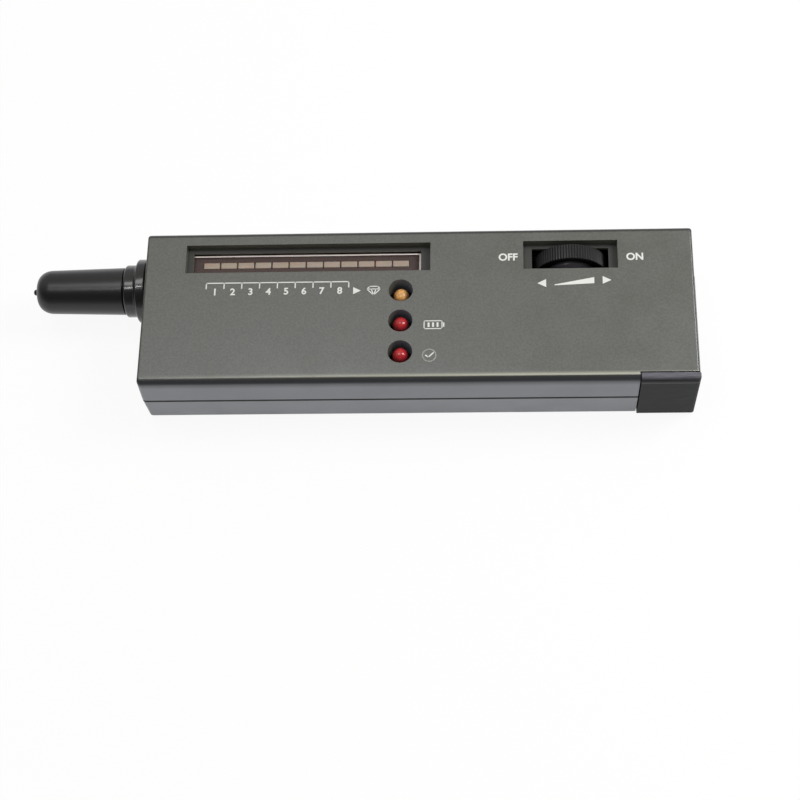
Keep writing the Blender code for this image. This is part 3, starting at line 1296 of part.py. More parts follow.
def resistors():
    """Two dumb-bell shaped resistors with their leads bent down to the board."""
    for i, at in enumerate(RESISTORS_AT):
        x, y = board_point(at)
        z = BOARD_TOP_Z + CLEARANCE + RESISTOR_RADIUS
        waist = RESISTOR_RADIUS * RESISTOR_WAIST_SHARE
        half = RESISTOR_LENGTH / 2
        bead_start = RESISTOR_RADIUS / 2
        bead_end = RESISTOR_RADIUS * 3 / 2
        bead = [
            (0, waist), (bead_start, RESISTOR_RADIUS), (bead_end, RESISTOR_RADIUS),
            (2 * RESISTOR_RADIUS, waist),
        ]
        other_bead = [(RESISTOR_LENGTH - along, radius) for along, radius in reversed(bead)]
        profile = [(0, 0), *bead, *other_bead, (RESISTOR_LENGTH, 0)]
        name = f"resistor_{i + 1}"
        body = turned(name, profile, (x - half, y, z), (1, 0, 0), 12)
        span = RESISTOR_SPAN / 2
        foot = BOARD_TOP_Z + CLEARANCE
        bend = RESISTOR_LEAD_RADIUS * 2
        stops = [
            (x - span, y, foot), (x - span, y, z - bend), (x - span + bend, y, z),
            (x + span - bend, y, z), (x + span, y, z - bend), (x + span, y, foot),
        ]
        join(body, as_mesh(name + "_leads", wire(name + "_route", stops, RESISTOR_LEAD_RADIUS)))
        paint(body, (196, 170, 124), 0.5)


def buzzer():
    """Round buzzer under the board with a sound hole that faces the rear."""
    x = CASE_X0 + STUD_FROM_PROBE_END
    y = CASE_Y0 + STUD_FROM_NEAR_SIDE
    low = BOARD_LOW_Z - CLEARANCE - BUZZER_HEIGHT
    rim = BUZZER_RADIUS - BUZZER_EDGE_RADIUS
    profile = [
        (BUZZER_HOLE_DEPTH, 0), (BUZZER_HOLE_DEPTH, BUZZER_HOLE_RADIUS), (0, BUZZER_HOLE_RADIUS), (0, rim),
    ]
    profile += arc(BUZZER_EDGE_RADIUS, rim, BUZZER_EDGE_RADIUS, -90, 0)
    profile += [(BUZZER_HEIGHT, BUZZER_RADIUS), (BUZZER_HEIGHT, 0)]
    paint(turned("buzzer", profile, (x, y, low), (0, 0, 1), 24), (30, 30, 32), 0.45)


def touch_plate():
    """Brushed triangular plate in the rear face with a contact post through the shell."""
    z_low = PLATE_RECESS - CLEARANCE - PLATE_THICKNESS
    item = plate("touch_plate", triangle(0), z_low, PLATE_RECESS - CLEARANCE)
    x, y = plate_post_point()
    post_low = z_low + PLATE_THICKNESS / 2
    post_top = PLATE_RECESS - CLEARANCE + PLATE_POST_LENGTH
    join(item, upright("touch_plate_post", PLATE_POST_RADIUS, (x, y), post_low, post_top, SMALL_ROUND))
    paint(item, (226, 216, 198), 0.32, 1.0)
    top = BOARD_LOW_Z - CLEARANCE
    low = post_top + CLEARANCE
    rise = top - low
    x_top = x + rise / 4
    stops = [(x, y, low), (x, y, low + rise / 3), (x_top, y, low + rise * 2 / 3), (x_top, y, top)]
    lead = wire("touch_plate_lead", smooth_route(stops, 5), PLATE_LEAD_RADIUS)
    paint(lead, (224, 222, 214), 0.5)


def rear_studs():
    """Five domed studs, their tops level with the rear face, riveted through it."""
    for name, (x, y) in stud_points().items():
        seat = STUD_SEAT_DEPTH - STUD_SUNK
        shank_end = WALL - STUD_SUNK + CLEARANCE
        profile = [(0, 0)]
        for i in range(1, ARC_STEPS + 1):
            angle = math.pi / 2 * i / ARC_STEPS
            profile.append((seat * (1 - math.cos(angle)), STUD_RADIUS * math.sin(angle)))
        profile += [(seat, STUD_SHANK_RADIUS), (shank_end, STUD_SHANK_RADIUS), (shank_end, STUD_RADIUS)]
        profile += [(shank_end + STUD_TAIL, STUD_SHANK_RADIUS), (shank_end + STUD_TAIL, 0)]
        paint(turned(name, profile, (x, y, STUD_SUNK), (0, 0, 1), SMALL_ROUND), (196, 182, 140), 0.2, 1.0)


def battery():
    """Block battery with a stud terminal and a socket terminal on its inner end."""
    half = BATTERY_DEPTH / 2
    body = block(
        "battery", (BATTERY_X0, BATTERY_Y0, PARTING_Z - half),
        (BATTERY_X1, BATTERY_Y0 + BATTERY_WIDTH, PARTING_Z + half),
    )
    round_edges(body, BATTERY_EDGE_RADIUS, 3)
    tip = BATTERY_X0 - TERMINAL_HEIGHT
    root = BATTERY_X0 + WALL
    stud_y = BATTERY_Y - TERMINAL_SPACING / 2
    socket_y = BATTERY_Y + TERMINAL_SPACING / 2
    terminals = (
        ("stud_terminal", STUD_TERMINAL_RADIUS, stud_y, 20),
        ("socket_terminal", SOCKET_TERMINAL_RADIUS, socket_y, 6),
    )
    for name, radius, y, sides in terminals:
        join(body, drum(name, radius, (tip, y, PARTING_Z), (root, y, PARTING_Z), sides))
    bore_start = (tip - OVERRUN, socket_y, PARTING_Z)
    cut(body, drum("socket_bore", SOCKET_BORE_RADIUS, bore_start, (BATTERY_X0, socket_y, PARTING_Z), 20))
    paint(body, (44, 46, 52), 0.35, 0.4)


def battery_snap():
    """Snap connector pad on the battery's terminals, with its red and black leads to the board."""
    x1 = SNAP_X0 + SNAP_THICKNESS
    pad = block(
        "battery_snap", (SNAP_X0, BATTERY_Y - SNAP_LENGTH / 2, PARTING_Z - SNAP_WIDTH / 2),
        (x1, BATTERY_Y + SNAP_LENGTH / 2, PARTING_Z + SNAP_WIDTH / 2),
    )
    round_edges(pad, SNAP_EDGE_RADIUS, 2)
    paint(pad, (30, 30, 32), 0.5)
    colours = {"red_lead": (190, 34, 30), "black_lead": (28, 28, 30)}
    level = BOARD_TOP_Z + CLEARANCE + LEAD_RADIUS
    start = SNAP_X0 - CLEARANCE
    board_x = BOARD_X1
    for side, (name, colour) in zip((1, -1), colours.items()):
        y = BATTERY_Y + side * LEAD_SPREAD
        stops = [
            (start, y, PARTING_Z + LEAD_BEND / 2), (start - LEAD_BEND, y, level),
            (board_x - LEAD_BEND, y, level), (board_x - 2 * LEAD_BEND, y + side * LEAD_BEND / 2, level),
        ]
        paint(wire(name, smooth_route(stops, 5), LEAD_RADIUS), colour, 0.5)


def probe_lead():
    """Lead from the probe's heater out of the barrel's tail and onto the board."""
    level = BOARD_TOP_Z + CLEARANCE + PROBE_LEAD_RADIUS
    start = SPRING_X1 + CLEARANCE + SPRING_SEAT_LENGTH + CLEARANCE
    tail = CASE_X0 + BARREL_TAIL
    board_x = CASE_X0 + BOARD_START
    middle = (start + tail) / 2
    stops = [
        (start, PROBE_Y, PARTING_Z), (middle, PROBE_Y, (2 * PARTING_Z + level) / 3), (tail, PROBE_Y, level),
        (board_x, PROBE_Y - PROBE_LEAD_RADIUS, level),
    ]
    stops.append((board_x + LEAD_BEND, PROBE_Y - PROBE_LEAD_RADIUS - LEAD_BEND, level))
    paint(wire("probe_lead", smooth_route(stops, 5), PROBE_LEAD_RADIUS), (196, 60, 46), 0.5)


front_shell()
rear_shell()
battery_door()
case_screws()
probe_collar()
collar_nut()
probe_barrel()
probe_nose()
probe_tip()
tip_heater()
tip_spring()
spring_seat()
probe_cap()
display_window()
display_module()
lamps()
thumbwheel()
wheel_screw()
volume_pot()
circuit_board()
board_screws()
chip("driver_chip", DRIVER_CHIP_AT, DRIVER_CHIP_PIN_COUNT)
chip("amplifier_chip", AMPLIFIER_CHIP_AT, AMPLIFIER_CHIP_PIN_COUNT)
capacitors()
trimmer()
transistor()
resistors()
buzzer()
touch_plate()
rear_studs()
battery()
battery_snap()
probe_lead()
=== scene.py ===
import math

import bmesh
import bpy
import numpy as np
from mathutils import Matrix, Vector


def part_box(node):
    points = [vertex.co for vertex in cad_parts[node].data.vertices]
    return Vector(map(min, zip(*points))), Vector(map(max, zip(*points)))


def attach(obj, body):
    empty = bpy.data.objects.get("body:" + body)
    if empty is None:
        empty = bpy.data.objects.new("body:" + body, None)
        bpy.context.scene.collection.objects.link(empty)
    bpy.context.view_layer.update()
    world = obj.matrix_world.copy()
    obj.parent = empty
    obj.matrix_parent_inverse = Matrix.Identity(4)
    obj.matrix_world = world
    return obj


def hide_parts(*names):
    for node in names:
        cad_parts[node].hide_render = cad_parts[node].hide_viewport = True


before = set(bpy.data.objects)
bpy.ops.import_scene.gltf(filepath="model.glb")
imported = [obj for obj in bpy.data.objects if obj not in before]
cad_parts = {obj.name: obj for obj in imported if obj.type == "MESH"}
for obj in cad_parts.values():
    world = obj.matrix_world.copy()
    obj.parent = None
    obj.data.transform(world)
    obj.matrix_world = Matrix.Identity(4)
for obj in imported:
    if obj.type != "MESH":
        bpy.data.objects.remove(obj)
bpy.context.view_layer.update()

# The two halves of the case
# Front and rear shells moulded in plastic and sprayed with a satin grey paint that dries to a fine
# grain. They meet half way up at a parting line, laid over with a dark band of painted shade, and are held together
# by two long screws.

MM = 0.001
SEAM_WIDTH = 0.0005 * MM
FLAT_ANGLE = math.radians(0.2)
SHARP_ANGLE = math.radians(35)
CASE_RIM = 0.16 * MM
BEND = 1.6 * MM
SLOW_SPOT = 9.0 * MM
CASE_LOW, CASE_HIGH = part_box("front_shell")
FACE_Z = CASE_HIGH.z
REAR_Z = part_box("rear_shell")[0].z
DOOR_EDGE_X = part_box("battery_door")[1].x - 15.35 * MM
LAMPS_X = (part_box("lamp_red_1")[0].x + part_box("lamp_red_1")[1].x) / 2


def seen(red, green, blue):
    """A colour as the eye reads it, 0 to 255 a part, turned into the linear one that a shader takes."""
    shares = np.array((red, green, blue)) / 255
    linear = np.where(shares <= 0.04045, shares / 12.92, ((shares + 0.055) / 1.055) ** 2.4)
    return (*linear.tolist(), 1.0)


def dimmed(colour, share):
    """The same colour with its light scaled by a share."""
    return (colour[0] * share, colour[1] * share, colour[2] * share, 1.0)


def new_finish(name, roughness, metallic=0.0, **sockets):
    """A material with a Principled shader, and that shader with its plain sockets set."""
    material = bpy.data.materials.new(name)
    material.use_nodes = True
    shader = material.node_tree.nodes["Principled BSDF"]
    shader.inputs["Roughness"].default_value = roughness
    shader.inputs["Metallic"].default_value = metallic
    for socket, value in sockets.items():
        shader.inputs[socket.replace("_", " ")].default_value = value
    return material, shader


def spots(material, size, stretch=(1, 1, 1), detail=2.0):
    """Soft noise on Object coordinates with spots about size across, longer along each axis by stretch."""
    tree = material.node_tree
    place = tree.nodes.new("ShaderNodeTexCoord")
    mapping = tree.nodes.new("ShaderNodeMapping")
    mapping.inputs["Scale"].default_value = [1 / (size * longer) for longer in stretch]
    noise = tree.nodes.new("ShaderNodeTexNoise")
    noise.inputs["Scale"].default_value = 1.0
    noise.inputs["Detail"].default_value = detail
    tree.links.new(place.outputs["Object"], mapping.inputs["Vector"])
    tree.links.new(mapping.outputs["Vector"], noise.inputs["Vector"])
    return noise.outputs["Fac"]


def ranged(material, source, ends, to_ends):
    """A value that goes from the first of to_ends to the last as the source goes between ends."""
    node = material.node_tree.nodes.new("ShaderNodeMapRange")
    for socket, value in zip(node.inputs[1:5], (*ends, *to_ends)):
        socket.default_value = value
    material.node_tree.links.new(source, node.inputs[0])
    return node.outputs[0]


def mixed(material, factor, first, second):
    """The first colour where the factor is 0 and the second where it is 1; each is a colour or an output."""
    node = material.node_tree.nodes.new("ShaderNodeMix")
    node.data_type = "RGBA"
    for socket, value in ((node.inputs[0], factor), (node.inputs[6], first), (node.inputs[7], second)):
        if isinstance(value, bpy.types.NodeSocket):
            material.node_tree.links.new(value, socket)
        else:
            socket.default_value = value
    return node.outputs[2]


def along(material, axis):
    """How far a place lies along X (0), Y (1) or Z (2), in the object's own metres."""
    place = material.node_tree.nodes.new("ShaderNodeTexCoord")
    parts = material.node_tree.nodes.new("ShaderNodeSeparateXYZ")
    material.node_tree.links.new(place.outputs["Object"], parts.inputs[0])
    return parts.outputs[axis]


def worked(material, operation, *values):
    """One sum on outputs or plain numbers."""
    node = material.node_tree.nodes.new("ShaderNodeMath")
    node.operation = operation
    for socket, value in zip(node.inputs, values):
        if isinstance(value, bpy.types.NodeSocket):
            material.node_tree.links.new(value, socket)
        else:
            socket.default_value = value
    return node.outputs[0]


def apart(material, source, middle):
    """How far the source is from a middle value, either way."""
    return worked(material, "ABSOLUTE", worked(material, "SUBTRACT", source, middle))


def raised(material, shader, source, height, below=None):
    """Lifts the surface by height where the source is 1, over another raised pattern if one is given."""
    bump = material.node_tree.nodes.new("ShaderNodeBump")
    bump.inputs["Distance"].default_value = height
    bump.inputs["Strength"].default_value = 1.0
    material.node_tree.links.new(source, bump.inputs["Height"])
    if below is not None:
        material.node_tree.links.new(below, bump.inputs["Normal"])
    material.node_tree.links.new(bump.outputs[0], shader.inputs["Normal"])
    return bump.outputs[0]


def finished(name, colour, roughness, grain, depth, spread=0.1, stretch=(1, 1, 1), metallic=0.0, **sockets):
    """A finish of one colour: noise of the grain's size lifts the surface by depth, and a slow noise moves
    the colour and the roughness by the share spread both ways."""
    material, shader = new_finish(name, roughness, metallic, **sockets)
    slow = spots(material, SLOW_SPOT, stretch, 4.0)
    fine = spots(material, grain, stretch)
    tint = mixed(material, ranged(material, slow, (0.3, 0.7), (0, 1)), dimmed(colour, 1 - spread),
                 dimmed(colour, 1 + spread))
    speckle = mixed(material, ranged(material, fine, (0.3, 0.7), (0, 1)), dimmed(colour, 1 - spread),
                    dimmed(colour, 1 + spread))
    links = material.node_tree.links
    links.new(mixed(material, 0.5, tint, speckle), shader.inputs["Base Color"])
    rough = ranged(material, slow, (0.3, 0.7), (roughness * (1 - spread), roughness * (1 + spread)))
    links.new(rough, shader.inputs["Roughness"])
    raised(material, shader, fine, depth)
    return material


def case_paint():
    """Satin grey paint: two sizes of grain in relief, pale and dark specks, and slow cloudy patches. Light and shade
    are
    painted into its colour: a pale painted highlight on the face along the near side where it starts to bend down,
    stronger towards the battery end; near-black painted shade with little gloss over the bends of both long sides,
    along the parting line and in the gap round the door; and painted light, paler than the face, on the near side
    wall (bluish), on all else more than 0.3 mm below the face away from the near side, which takes in the walls of
    the openings, the far side and the rear shell, and paler still and bluish in a band across the case at the lamp
    wells."""
    grey = seen(79, 78, 68)
    material, shader = new_finish("case_paint", 0.36, Specular_Tint=(0.86, 0.92, 1.0, 1.0))
    cloud = spots(material, SLOW_SPOT, detail=5.0)
    fleck = spots(material, 0.56 * MM, detail=3.0)
    dust = spots(material, 0.16 * MM, detail=2.0)
    base = mixed(material, ranged(material, cloud, (0.3, 0.7), (0, 1)), dimmed(grey, 0.93),
                 dimmed(grey, 1.07))
    specks = mixed(material, ranged(material, fleck, (0.38, 0.62), (0, 1)), dimmed(grey, 0.5),
                   dimmed(grey, 1.6))
    fine = mixed(material, ranged(material, dust, (0.38, 0.62), (0, 1)), dimmed(grey, 0.7),
                 dimmed(grey, 1.36))
    height = along(material, 2)
    across = worked(material, "SUBTRACT", along(material, 1), (CASE_LOW.y + CASE_HIGH.y) / 2)
    half = (CASE_HIGH.y - CASE_LOW.y) / 2
    to_near = worked(material, "ADD", across, half)
    at_side = ranged(material, apart(material, across, 0.0), (half - 2.2 * MM, half - 2.0 * MM), (0, 1))
    below_face = worked(material, "SUBTRACT", FACE_Z, height)
    # Painted shade over the bends of both long sides of the front shell: full just below the face's edge, gone 3.6 mm
    # down.
    bend = worked(material, "MINIMUM", ranged(material, below_face, (0.02 * MM, 0.1 * MM), (0, 1)),
                  ranged(material, below_face, (0, 0.75 * MM), (0.72, 0.97)))
    bend = worked(material, "MULTIPLY", bend, ranged(material, below_face, (0.9 * MM, 3.6 * MM), (1, 0)))
    on_face = ranged(material, below_face, (0.1 * MM, 0.2 * MM), (1, 0))
    # Painted highlight: a pale line on the face along the near side where it starts to bend down, weak at the probe
    # end and full from 100 mm along.
    painted_edge_highlight = worked(material, "POWER", ranged(material, to_near, (2.9 * MM, 1.85 * MM), (0, 1)), 2.0)
    painted_edge_highlight = worked(material, "MULTIPLY", painted_edge_highlight, ranged(material, to_near, (1.35 * MM, 1.55 * MM), (0, 1)))
    painted_edge_highlight = worked(material, "MULTIPLY", painted_edge_highlight, on_face)
    edge_highlight_along = ranged(material, along(material, 0), (CASE_LOW.x, CASE_LOW.x + 100 * MM), (0.12, 1.0))
    # Painted shade in the gap round the door, on the face by the door's edge.
    door_gap_shade = worked(material, "MULTIPLY", ranged(material, to_near, (2.15 * MM, 2.0 * MM), (0, 1)),
                     ranged(material, along(material, 0), (DOOR_EDGE_X, DOOR_EDGE_X + 0.2 * MM), (0, 1)))
    door_gap_shade = worked(material, "MULTIPLY", door_gap_shade, on_face)
    # Painted shade along the parting line, a band about a millimetre wide.
    seam_shade = ranged(material, apart(material, height, (FACE_Z + REAR_Z) / 2), (0.48 * MM, 0.62 * MM), (1, 0))
    coat = mixed(material, 0.5, base, mixed(material, 0.5, specks, fine))
    coat = mixed(material, worked(material, "MULTIPLY", painted_edge_highlight, edge_highlight_along), coat, dimmed(grey, 5.0))
    # Painted light: everything more than 0.3 mm below the face and away from the near side, the walls of the openings
    # among it, is painted paler than the face, and paler still and bluish in a band across the case at the lamp
    # wells.
    inner = worked(material, "MULTIPLY", ranged(material, to_near, (2.2 * MM, 2.4 * MM), (0, 1)),
                   ranged(material, below_face, (0.2 * MM, 0.3 * MM), (0, 1)))
    from_lamps = worked(material, "SUBTRACT", along(material, 0), LAMPS_X)
    well = worked(material, "MULTIPLY", ranged(material, from_lamps, (-2.9 * MM, -0.4 * MM), (0, 1)),
                  ranged(material, apart(material, from_lamps, 0.0), (3.3 * MM, 3.5 * MM), (1, 0)))
    well = worked(material, "MULTIPLY", well, ranged(material, to_near, (31.0 * MM, 31.5 * MM), (1, 0)))
    coat = mixed(material, inner, coat, mixed(material, well, dimmed(grey, 1.8), seen(134, 148, 160)))
    # Painted sheen: the near side wall is painted paler and bluish.
    painted_side_sheen = ranged(material, to_near, (0.5 * MM, 1.2 * MM), (0.8, 0))
    coat = mixed(material, painted_side_sheen, coat, seen(124, 125, 131))
    # The painted shade over the bends is laid in near black.
    painted_bend_shade = worked(material, "MULTIPLY", worked(material, "MULTIPLY", bend, at_side), 0.96)
    coat = mixed(material, painted_bend_shade, coat, seen(33, 33, 35))
    # Both painted gap shades are laid in near black; they and the painted bend shade get little gloss.
    painted_gap_shade = worked(material, "MAXIMUM", seam_shade, door_gap_shade)
    coat = mixed(material, painted_gap_shade, coat, seen(12, 12, 16))
    links = material.node_tree.links
    links.new(coat, shader.inputs["Base Color"])
    links.new(ranged(material, worked(material, "MAXIMUM", painted_gap_shade, painted_bend_shade), (0, 1), (1.0, 0.3)),
              shader.inputs["Specular IOR Level"])
    links.new(ranged(material, cloud, (0.3, 0.7), (0.31, 0.41)), shader.inputs["Roughness"])
    coarse = raised(material, shader, fleck, 0.012 * MM)
    raised(material, shader, dust, 0.006 * MM, coarse)
    return material


def place_piece(name, mesh, material, body):
    """Puts a finished mesh in the scene under one material, riding on a body of the frame."""
    piece = bpy.data.objects.new(name, mesh)
    bpy.context.scene.collection.objects.link(piece)
    mesh.materials.clear()
    mesh.materials.append(material)
    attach(piece, body)
    return piece


def soften(piece, width, segments=3):
    """Rounds the edges marked for it and leaves each flat face flat to the light."""
    bevel = piece.modifiers.new("softened rims", "BEVEL")
    bevel.limit_method = "WEIGHT"
    bevel.width = width
    bevel.segments = segments
    bevel.harden_normals = False
    level_faces(piece)


def level_faces(piece):
    """Turns each corner's normal towards its largest face, so that flat and straight parts are lit as such."""
    level = piece.modifiers.new("flat faces", "WEIGHTED_NORMAL")
    level.keep_sharp = True


def merged_copy(node, marked, name=None):
    """A copy of a node's mesh with its doubles merged and its flat faces joined. marked(ends) says which
    sharp edges are to be rounded, from the two ends' coordinates."""
    shape = bmesh.new()
    shape.from_mesh(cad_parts[node].data)
    bmesh.ops.remove_doubles(shape, verts=shape.verts, dist=SEAM_WIDTH)
    bmesh.ops.dissolve_limit(shape, angle_limit=FLAT_ANGLE, verts=shape.verts, edges=shape.edges)
    weight = shape.edges.layers.float.new("bevel_weight_edge")
    for edge in shape.edges:
        sharp = edge.is_manifold and edge.calc_face_angle(0) > SHARP_ANGLE
        edge.smooth = not sharp
        if sharp and marked([vert.co for vert in edge.verts]):
            edge[weight] = 1.0
            edge.smooth = True
    for face in shape.faces:
        face.smooth = True
    mesh = bpy.data.meshes.new(name or node + "_skin")
    shape.to_mesh(mesh)
    shape.free()
    return mesh


def at_height(z):
    """Marks the edges that lie at one height."""
    return lambda ends: all(abs(end.z - z) < SEAM_WIDTH for end in ends)


def along_seam(low, high):
    """Marks the edges of a shell that lie on its face or run along the outside of the parting line."""
    def marked(ends):
        outside = all(
            min(end.x - low.x, high.x - end.x, end.y - low.y, high.y - end.y) < CASE_RIM for end in ends
        )
        near_seam = all(abs(end.z - seam_z) < CASE_RIM * 2 for end in ends)
        on_face = all(min(abs(end.z - FACE_Z), abs(end.z - REAR_Z)) < SEAM_WIDTH for end in ends)
        return on_face or (outside and near_seam)
    seam_z = (FACE_Z + REAR_Z) / 2
    return marked


def bare_inside(mesh, material):
    """Leaves the faces that the spray can't reach in bare plastic. Painted are the faces that look out and lie
    on the outside, the bends between them, and the upright walls of the openings down to the paint's reach."""
    mesh.materials.append(material)
    centre, outward = np.empty(len(mesh.polygons) * 3), np.empty(len(mesh.polygons) * 3)
    mesh.polygons.foreach_get("center", centre)
    mesh.polygons.foreach_get("normal", outward)
    centre, outward = centre.reshape(-1, 3), outward.reshape(-1, 3)
    low, high = np.array(CASE_OUTSIDE[0]), np.array(CASE_OUTSIDE[1])
    inset = np.minimum(centre - low, high - centre)
    looks_out = outward * np.sign(centre - (low + high) / 2)
    flat = ((inset < OUTSIDE_REACH) & (looks_out > 0.3)).any(axis=1)
    bent = (inset[:, 1] < BEND + CASE_DRAFT) & (inset[:, 2] < BEND) & (looks_out[:, 1:].min(axis=1) > -0.05)
    wall = (np.abs(outward[:, 2]) < 0.3) & (inset[:, 2] < PAINT_REACH)
    painted = flat | bent | (wall & (inset[:, :2].min(axis=1) > BEND))
    mesh.polygons.foreach_set("material_index", (~painted).astype(np.int32))


CASE_OUTSIDE = (Vector((CASE_LOW.x, CASE_LOW.y, REAR_Z)), CASE_HIGH)
CASE_DRAFT = 0.28 * MM
OUTSIDE_REACH = np.array((0.45, 0.45, 0.12)) * MM
PAINT_REACH = 3.2 * MM
paint_grey = case_paint()
bare_plastic = finished("bare_plastic", seen(49, 49, 46), 0.5, 0.3 * MM, 0.006 * MM, 0.12)
for node in ("front_shell", "rear_shell"):
    shell = place_piece(node + "_skin", merged_copy(node, along_seam(*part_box(node))), paint_grey, "case")
    bare_inside(shell.data, bare_plastic)
    soften(shell, CASE_RIM)
    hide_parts(node)

# Printing on the front face
# White ink laid on by screen: a bracket scale with its numbers and arrow, the switch words beside the
# thumbwheel, and plain signs beside the lamps. Each is a thin layer that stands just proud of the paint.

INK_THICKNESS = 0.02 * MM
INK_SUNK = 0.01 * MM
DIGIT_HEIGHT = 2.05 * MM
WORD_HEIGHT = 2.2 * MM
STROKE = 0.3 * MM


def white_ink():
    """Matte white ink, a little patchy in places."""
    return finished("white_ink", seen(222, 222, 217), 0.55, 0.3 * MM, 0.003 * MM, 0.05)


def on_case(x, y):
    """A place on the case in plan, from millimetres off its probe end and its near side."""
    return Vector((CASE_LOW.x + x * MM, CASE_LOW.y + y * MM, 0))


def lines(starts, ends, width=STROKE):
    """Straight strokes as four-sided outlines: each runs from its start to its end with half the width added
    on every side, so strokes that meet make a full corner."""
    start = np.array([on_case(*at)[:2] for at in starts])
    end = np.array([on_case(*at)[:2] for at in ends])
    along = end - start
    along *= width / 2 / np.linalg.norm(along, axis=1, keepdims=True)
    across = np.stack((-along[:, 1], along[:, 0]), axis=1)
    return list(np.stack((
        start - along - across, end + along - across, end + along + across, start - along + across,
    ), axis=1))


def shape_on_case(points):
    """One outline from points in millimetres on the case."""
    return np.array([on_case(*point)[:2] for point in points])


def word(text, centre, height, bold=0.012, turn=None):
    """A text as a flat mesh of its real height, centred at a place on the case and facing up or down."""
    curve = bpy.data.curves.new(text, "FONT")
    curve.body = text
    curve.extrude = 0.01
    curve.offset = bold
    carrier = bpy.data.objects.new(text, curve)
    bpy.context.scene.collection.objects.link(carrier)
    bpy.context.view_layer.update()
    shape = carrier.evaluated_get(bpy.context.evaluated_depsgraph_get())
    mesh = bpy.data.meshes.new_from_object(shape)
    bpy.data.objects.remove(carrier)
    points = np.empty(len(mesh.vertices) * 3)
    mesh.vertices.foreach_get("co", points)
    points = points.reshape(-1, 3)
    low, high = points.min(axis=0), points.max(axis=0)
    scale = height / (high[1] - low[1])
    points = (points - (low + high) / 2) * (scale, scale, INK_THICKNESS / (high[2] - low[2]))
    if turn is not None:
        points = points * turn
    points += np.array(on_case(*centre))
    mesh.vertices.foreach_set("co", points.ravel())
    return mesh


def printing(name, outlines, words, face_z, outward):
    """Joins outlines and words into one thin layer of ink on a face that looks up (1) or down (-1)."""
    shape = bmesh.new()
    for mesh in words:
        shape.from_mesh(mesh)
        bpy.data.meshes.remove(mesh)
    bmesh.ops.remove_doubles(shape, verts=shape.verts, dist=SEAM_WIDTH)
    for outline in outlines:
        corners = [shape.verts.new((x, y, -INK_THICKNESS / 2)) for x, y in outline]
        bottom = shape.faces.new(corners)
        grown = bmesh.ops.extrude_face_region(shape, geom=[bottom])
        top = [item for item in grown["geom"] if isinstance(item, bmesh.types.BMVert)]
        bmesh.ops.translate(shape, verts=top, vec=(0, 0, INK_THICKNESS))
    bmesh.ops.recalc_face_normals(shape, faces=shape.faces)
    bmesh.ops.translate(shape, verts=shape.verts, vec=(0, 0, face_z + outward * INK_SUNK / 2))
    mesh = bpy.data.meshes.new(name)
    shape.to_mesh(mesh)
    shape.free()
    piece = place_piece(name, mesh, ink, "case")
    return piece


ink = white_ink()

SCALE_Y = 29.6
SCALE_START = 17.16
SCALE_END = 55.35
SCALE_NUMBERS = 8
TICK_LENGTH = 1.6
NUMBER_Y = 26.95
scale_x = np.linspace(SCALE_START, SCALE_END, SCALE_NUMBERS + 1)
tick_tops = [(x, SCALE_Y) for x in scale_x]
tick_feet = [(x, SCALE_Y - TICK_LENGTH) for x in scale_x]
scale_lines = lines(tick_tops, tick_feet) + lines([tick_tops[0]], [tick_tops[-1]])
scale_arrow = shape_on_case(((56.55, 25.8), (58.58, 26.85), (56.55, 27.9)))
scale_words = [
    word(str(i + 1), ((scale_x[i] + scale_x[i + 1]) / 2, NUMBER_Y), DIGIT_HEIGHT, 0.025)
    for i in range(SCALE_NUMBERS)
]
printing("scale_print", [*scale_lines, scale_arrow], scale_words, FACE_Z, 1)



def gem_sign(centre, width, stroke):
    """Strokes of a cut stone seen from the side: a flat top, a wider girdle below it and a point at the foot, with
    two lines from the girdle down to the point."""
    corner = np.array(((-0.28, 0.3), (0.28, 0.3), (0.5, 0.08), (0, -0.42), (-0.5, 0.08), (-0.18, 0.08), (0.18, 0.08)))
    corner = corner * width + np.array(centre)
    first, last = np.array(((0, 1), (1, 2), (2, 3), (3, 4), (4, 0), (4, 2), (5, 3), (6, 3))).T
    return lines(corner[first], corner[last], stroke)


def ring_sign(centre, radius, stroke):
    """Strokes round a circle, each from one of 24 even places to the next."""
    angle = np.linspace(0, 2 * np.pi, 24, endpoint=False)
    corner = np.stack((np.cos(angle), np.sin(angle)), axis=1) * radius + np.array(centre)
    return lines(corner, np.roll(corner, -1, axis=0), stroke)


def battery_sign(low, high, stroke):
    """Strokes of a cell lying down: a box with a short pole at its end and three bars of charge inside."""
    (x0, y0), (x1, y1) = low, high
    box = lines([(x0, y0), (x1, y0), (x1, y1), (x0, y1)], [(x1, y0), (x1, y1), (x0, y1), (x0, y0)], stroke)
    middle = (y0 + y1) / 2
    pole = lines([(x1 + 0.45, middle - 0.45)], [(x1 + 0.45, middle + 0.45)], stroke * 1.4)
    bar_x = np.linspace(x0, x1, 5)[1:4]
    bars = lines([(x, y0 + 0.75) for x in bar_x], [(x, y1 - 0.75) for x in bar_x], stroke * 2)
    return [*box, *pole, *bars]


SIGN_STROKE = 0.26 * MM
tick_sign = lines([(76.0, 7.55), (76.65, 6.95)], [(76.65, 6.95), (77.95, 8.25)], 0.34 * MM)
printing("sign_print", [
    *gem_sign((62.0, 27.0), 3.6, SIGN_STROKE),
    *battery_sign((75.5, 15.3), (80.2, 17.6), SIGN_STROKE),
    *ring_sign((76.9, 7.55), 1.75, SIGN_STROKE), *tick_sign,
], [], FACE_Z, 1)

WHEEL_ARROWS = (
    ((107.7, 27.2), (107.7, 29.6), (105.4, 28.4)),
    ((122.6, 28.0), (124.9, 29.1), (122.6, 30.3)),
)
WEDGE = ((109.9, 27.7), (120.4, 28.2), (120.4, 30.0), (109.9, 27.95))
printing(
    "wheel_print", [shape_on_case(points) for points in (*WHEEL_ARROWS, WEDGE)],
    [word("OFF", (97.75, 36.4), WORD_HEIGHT, 0.03), word("ON", (131.3, 36.1), WORD_HEIGHT, 0.03)], FACE_Z, 1,
)

# Printing on the rear face
# A table of white lines with plain numbers: three temperature bands across, three stone sizes down.

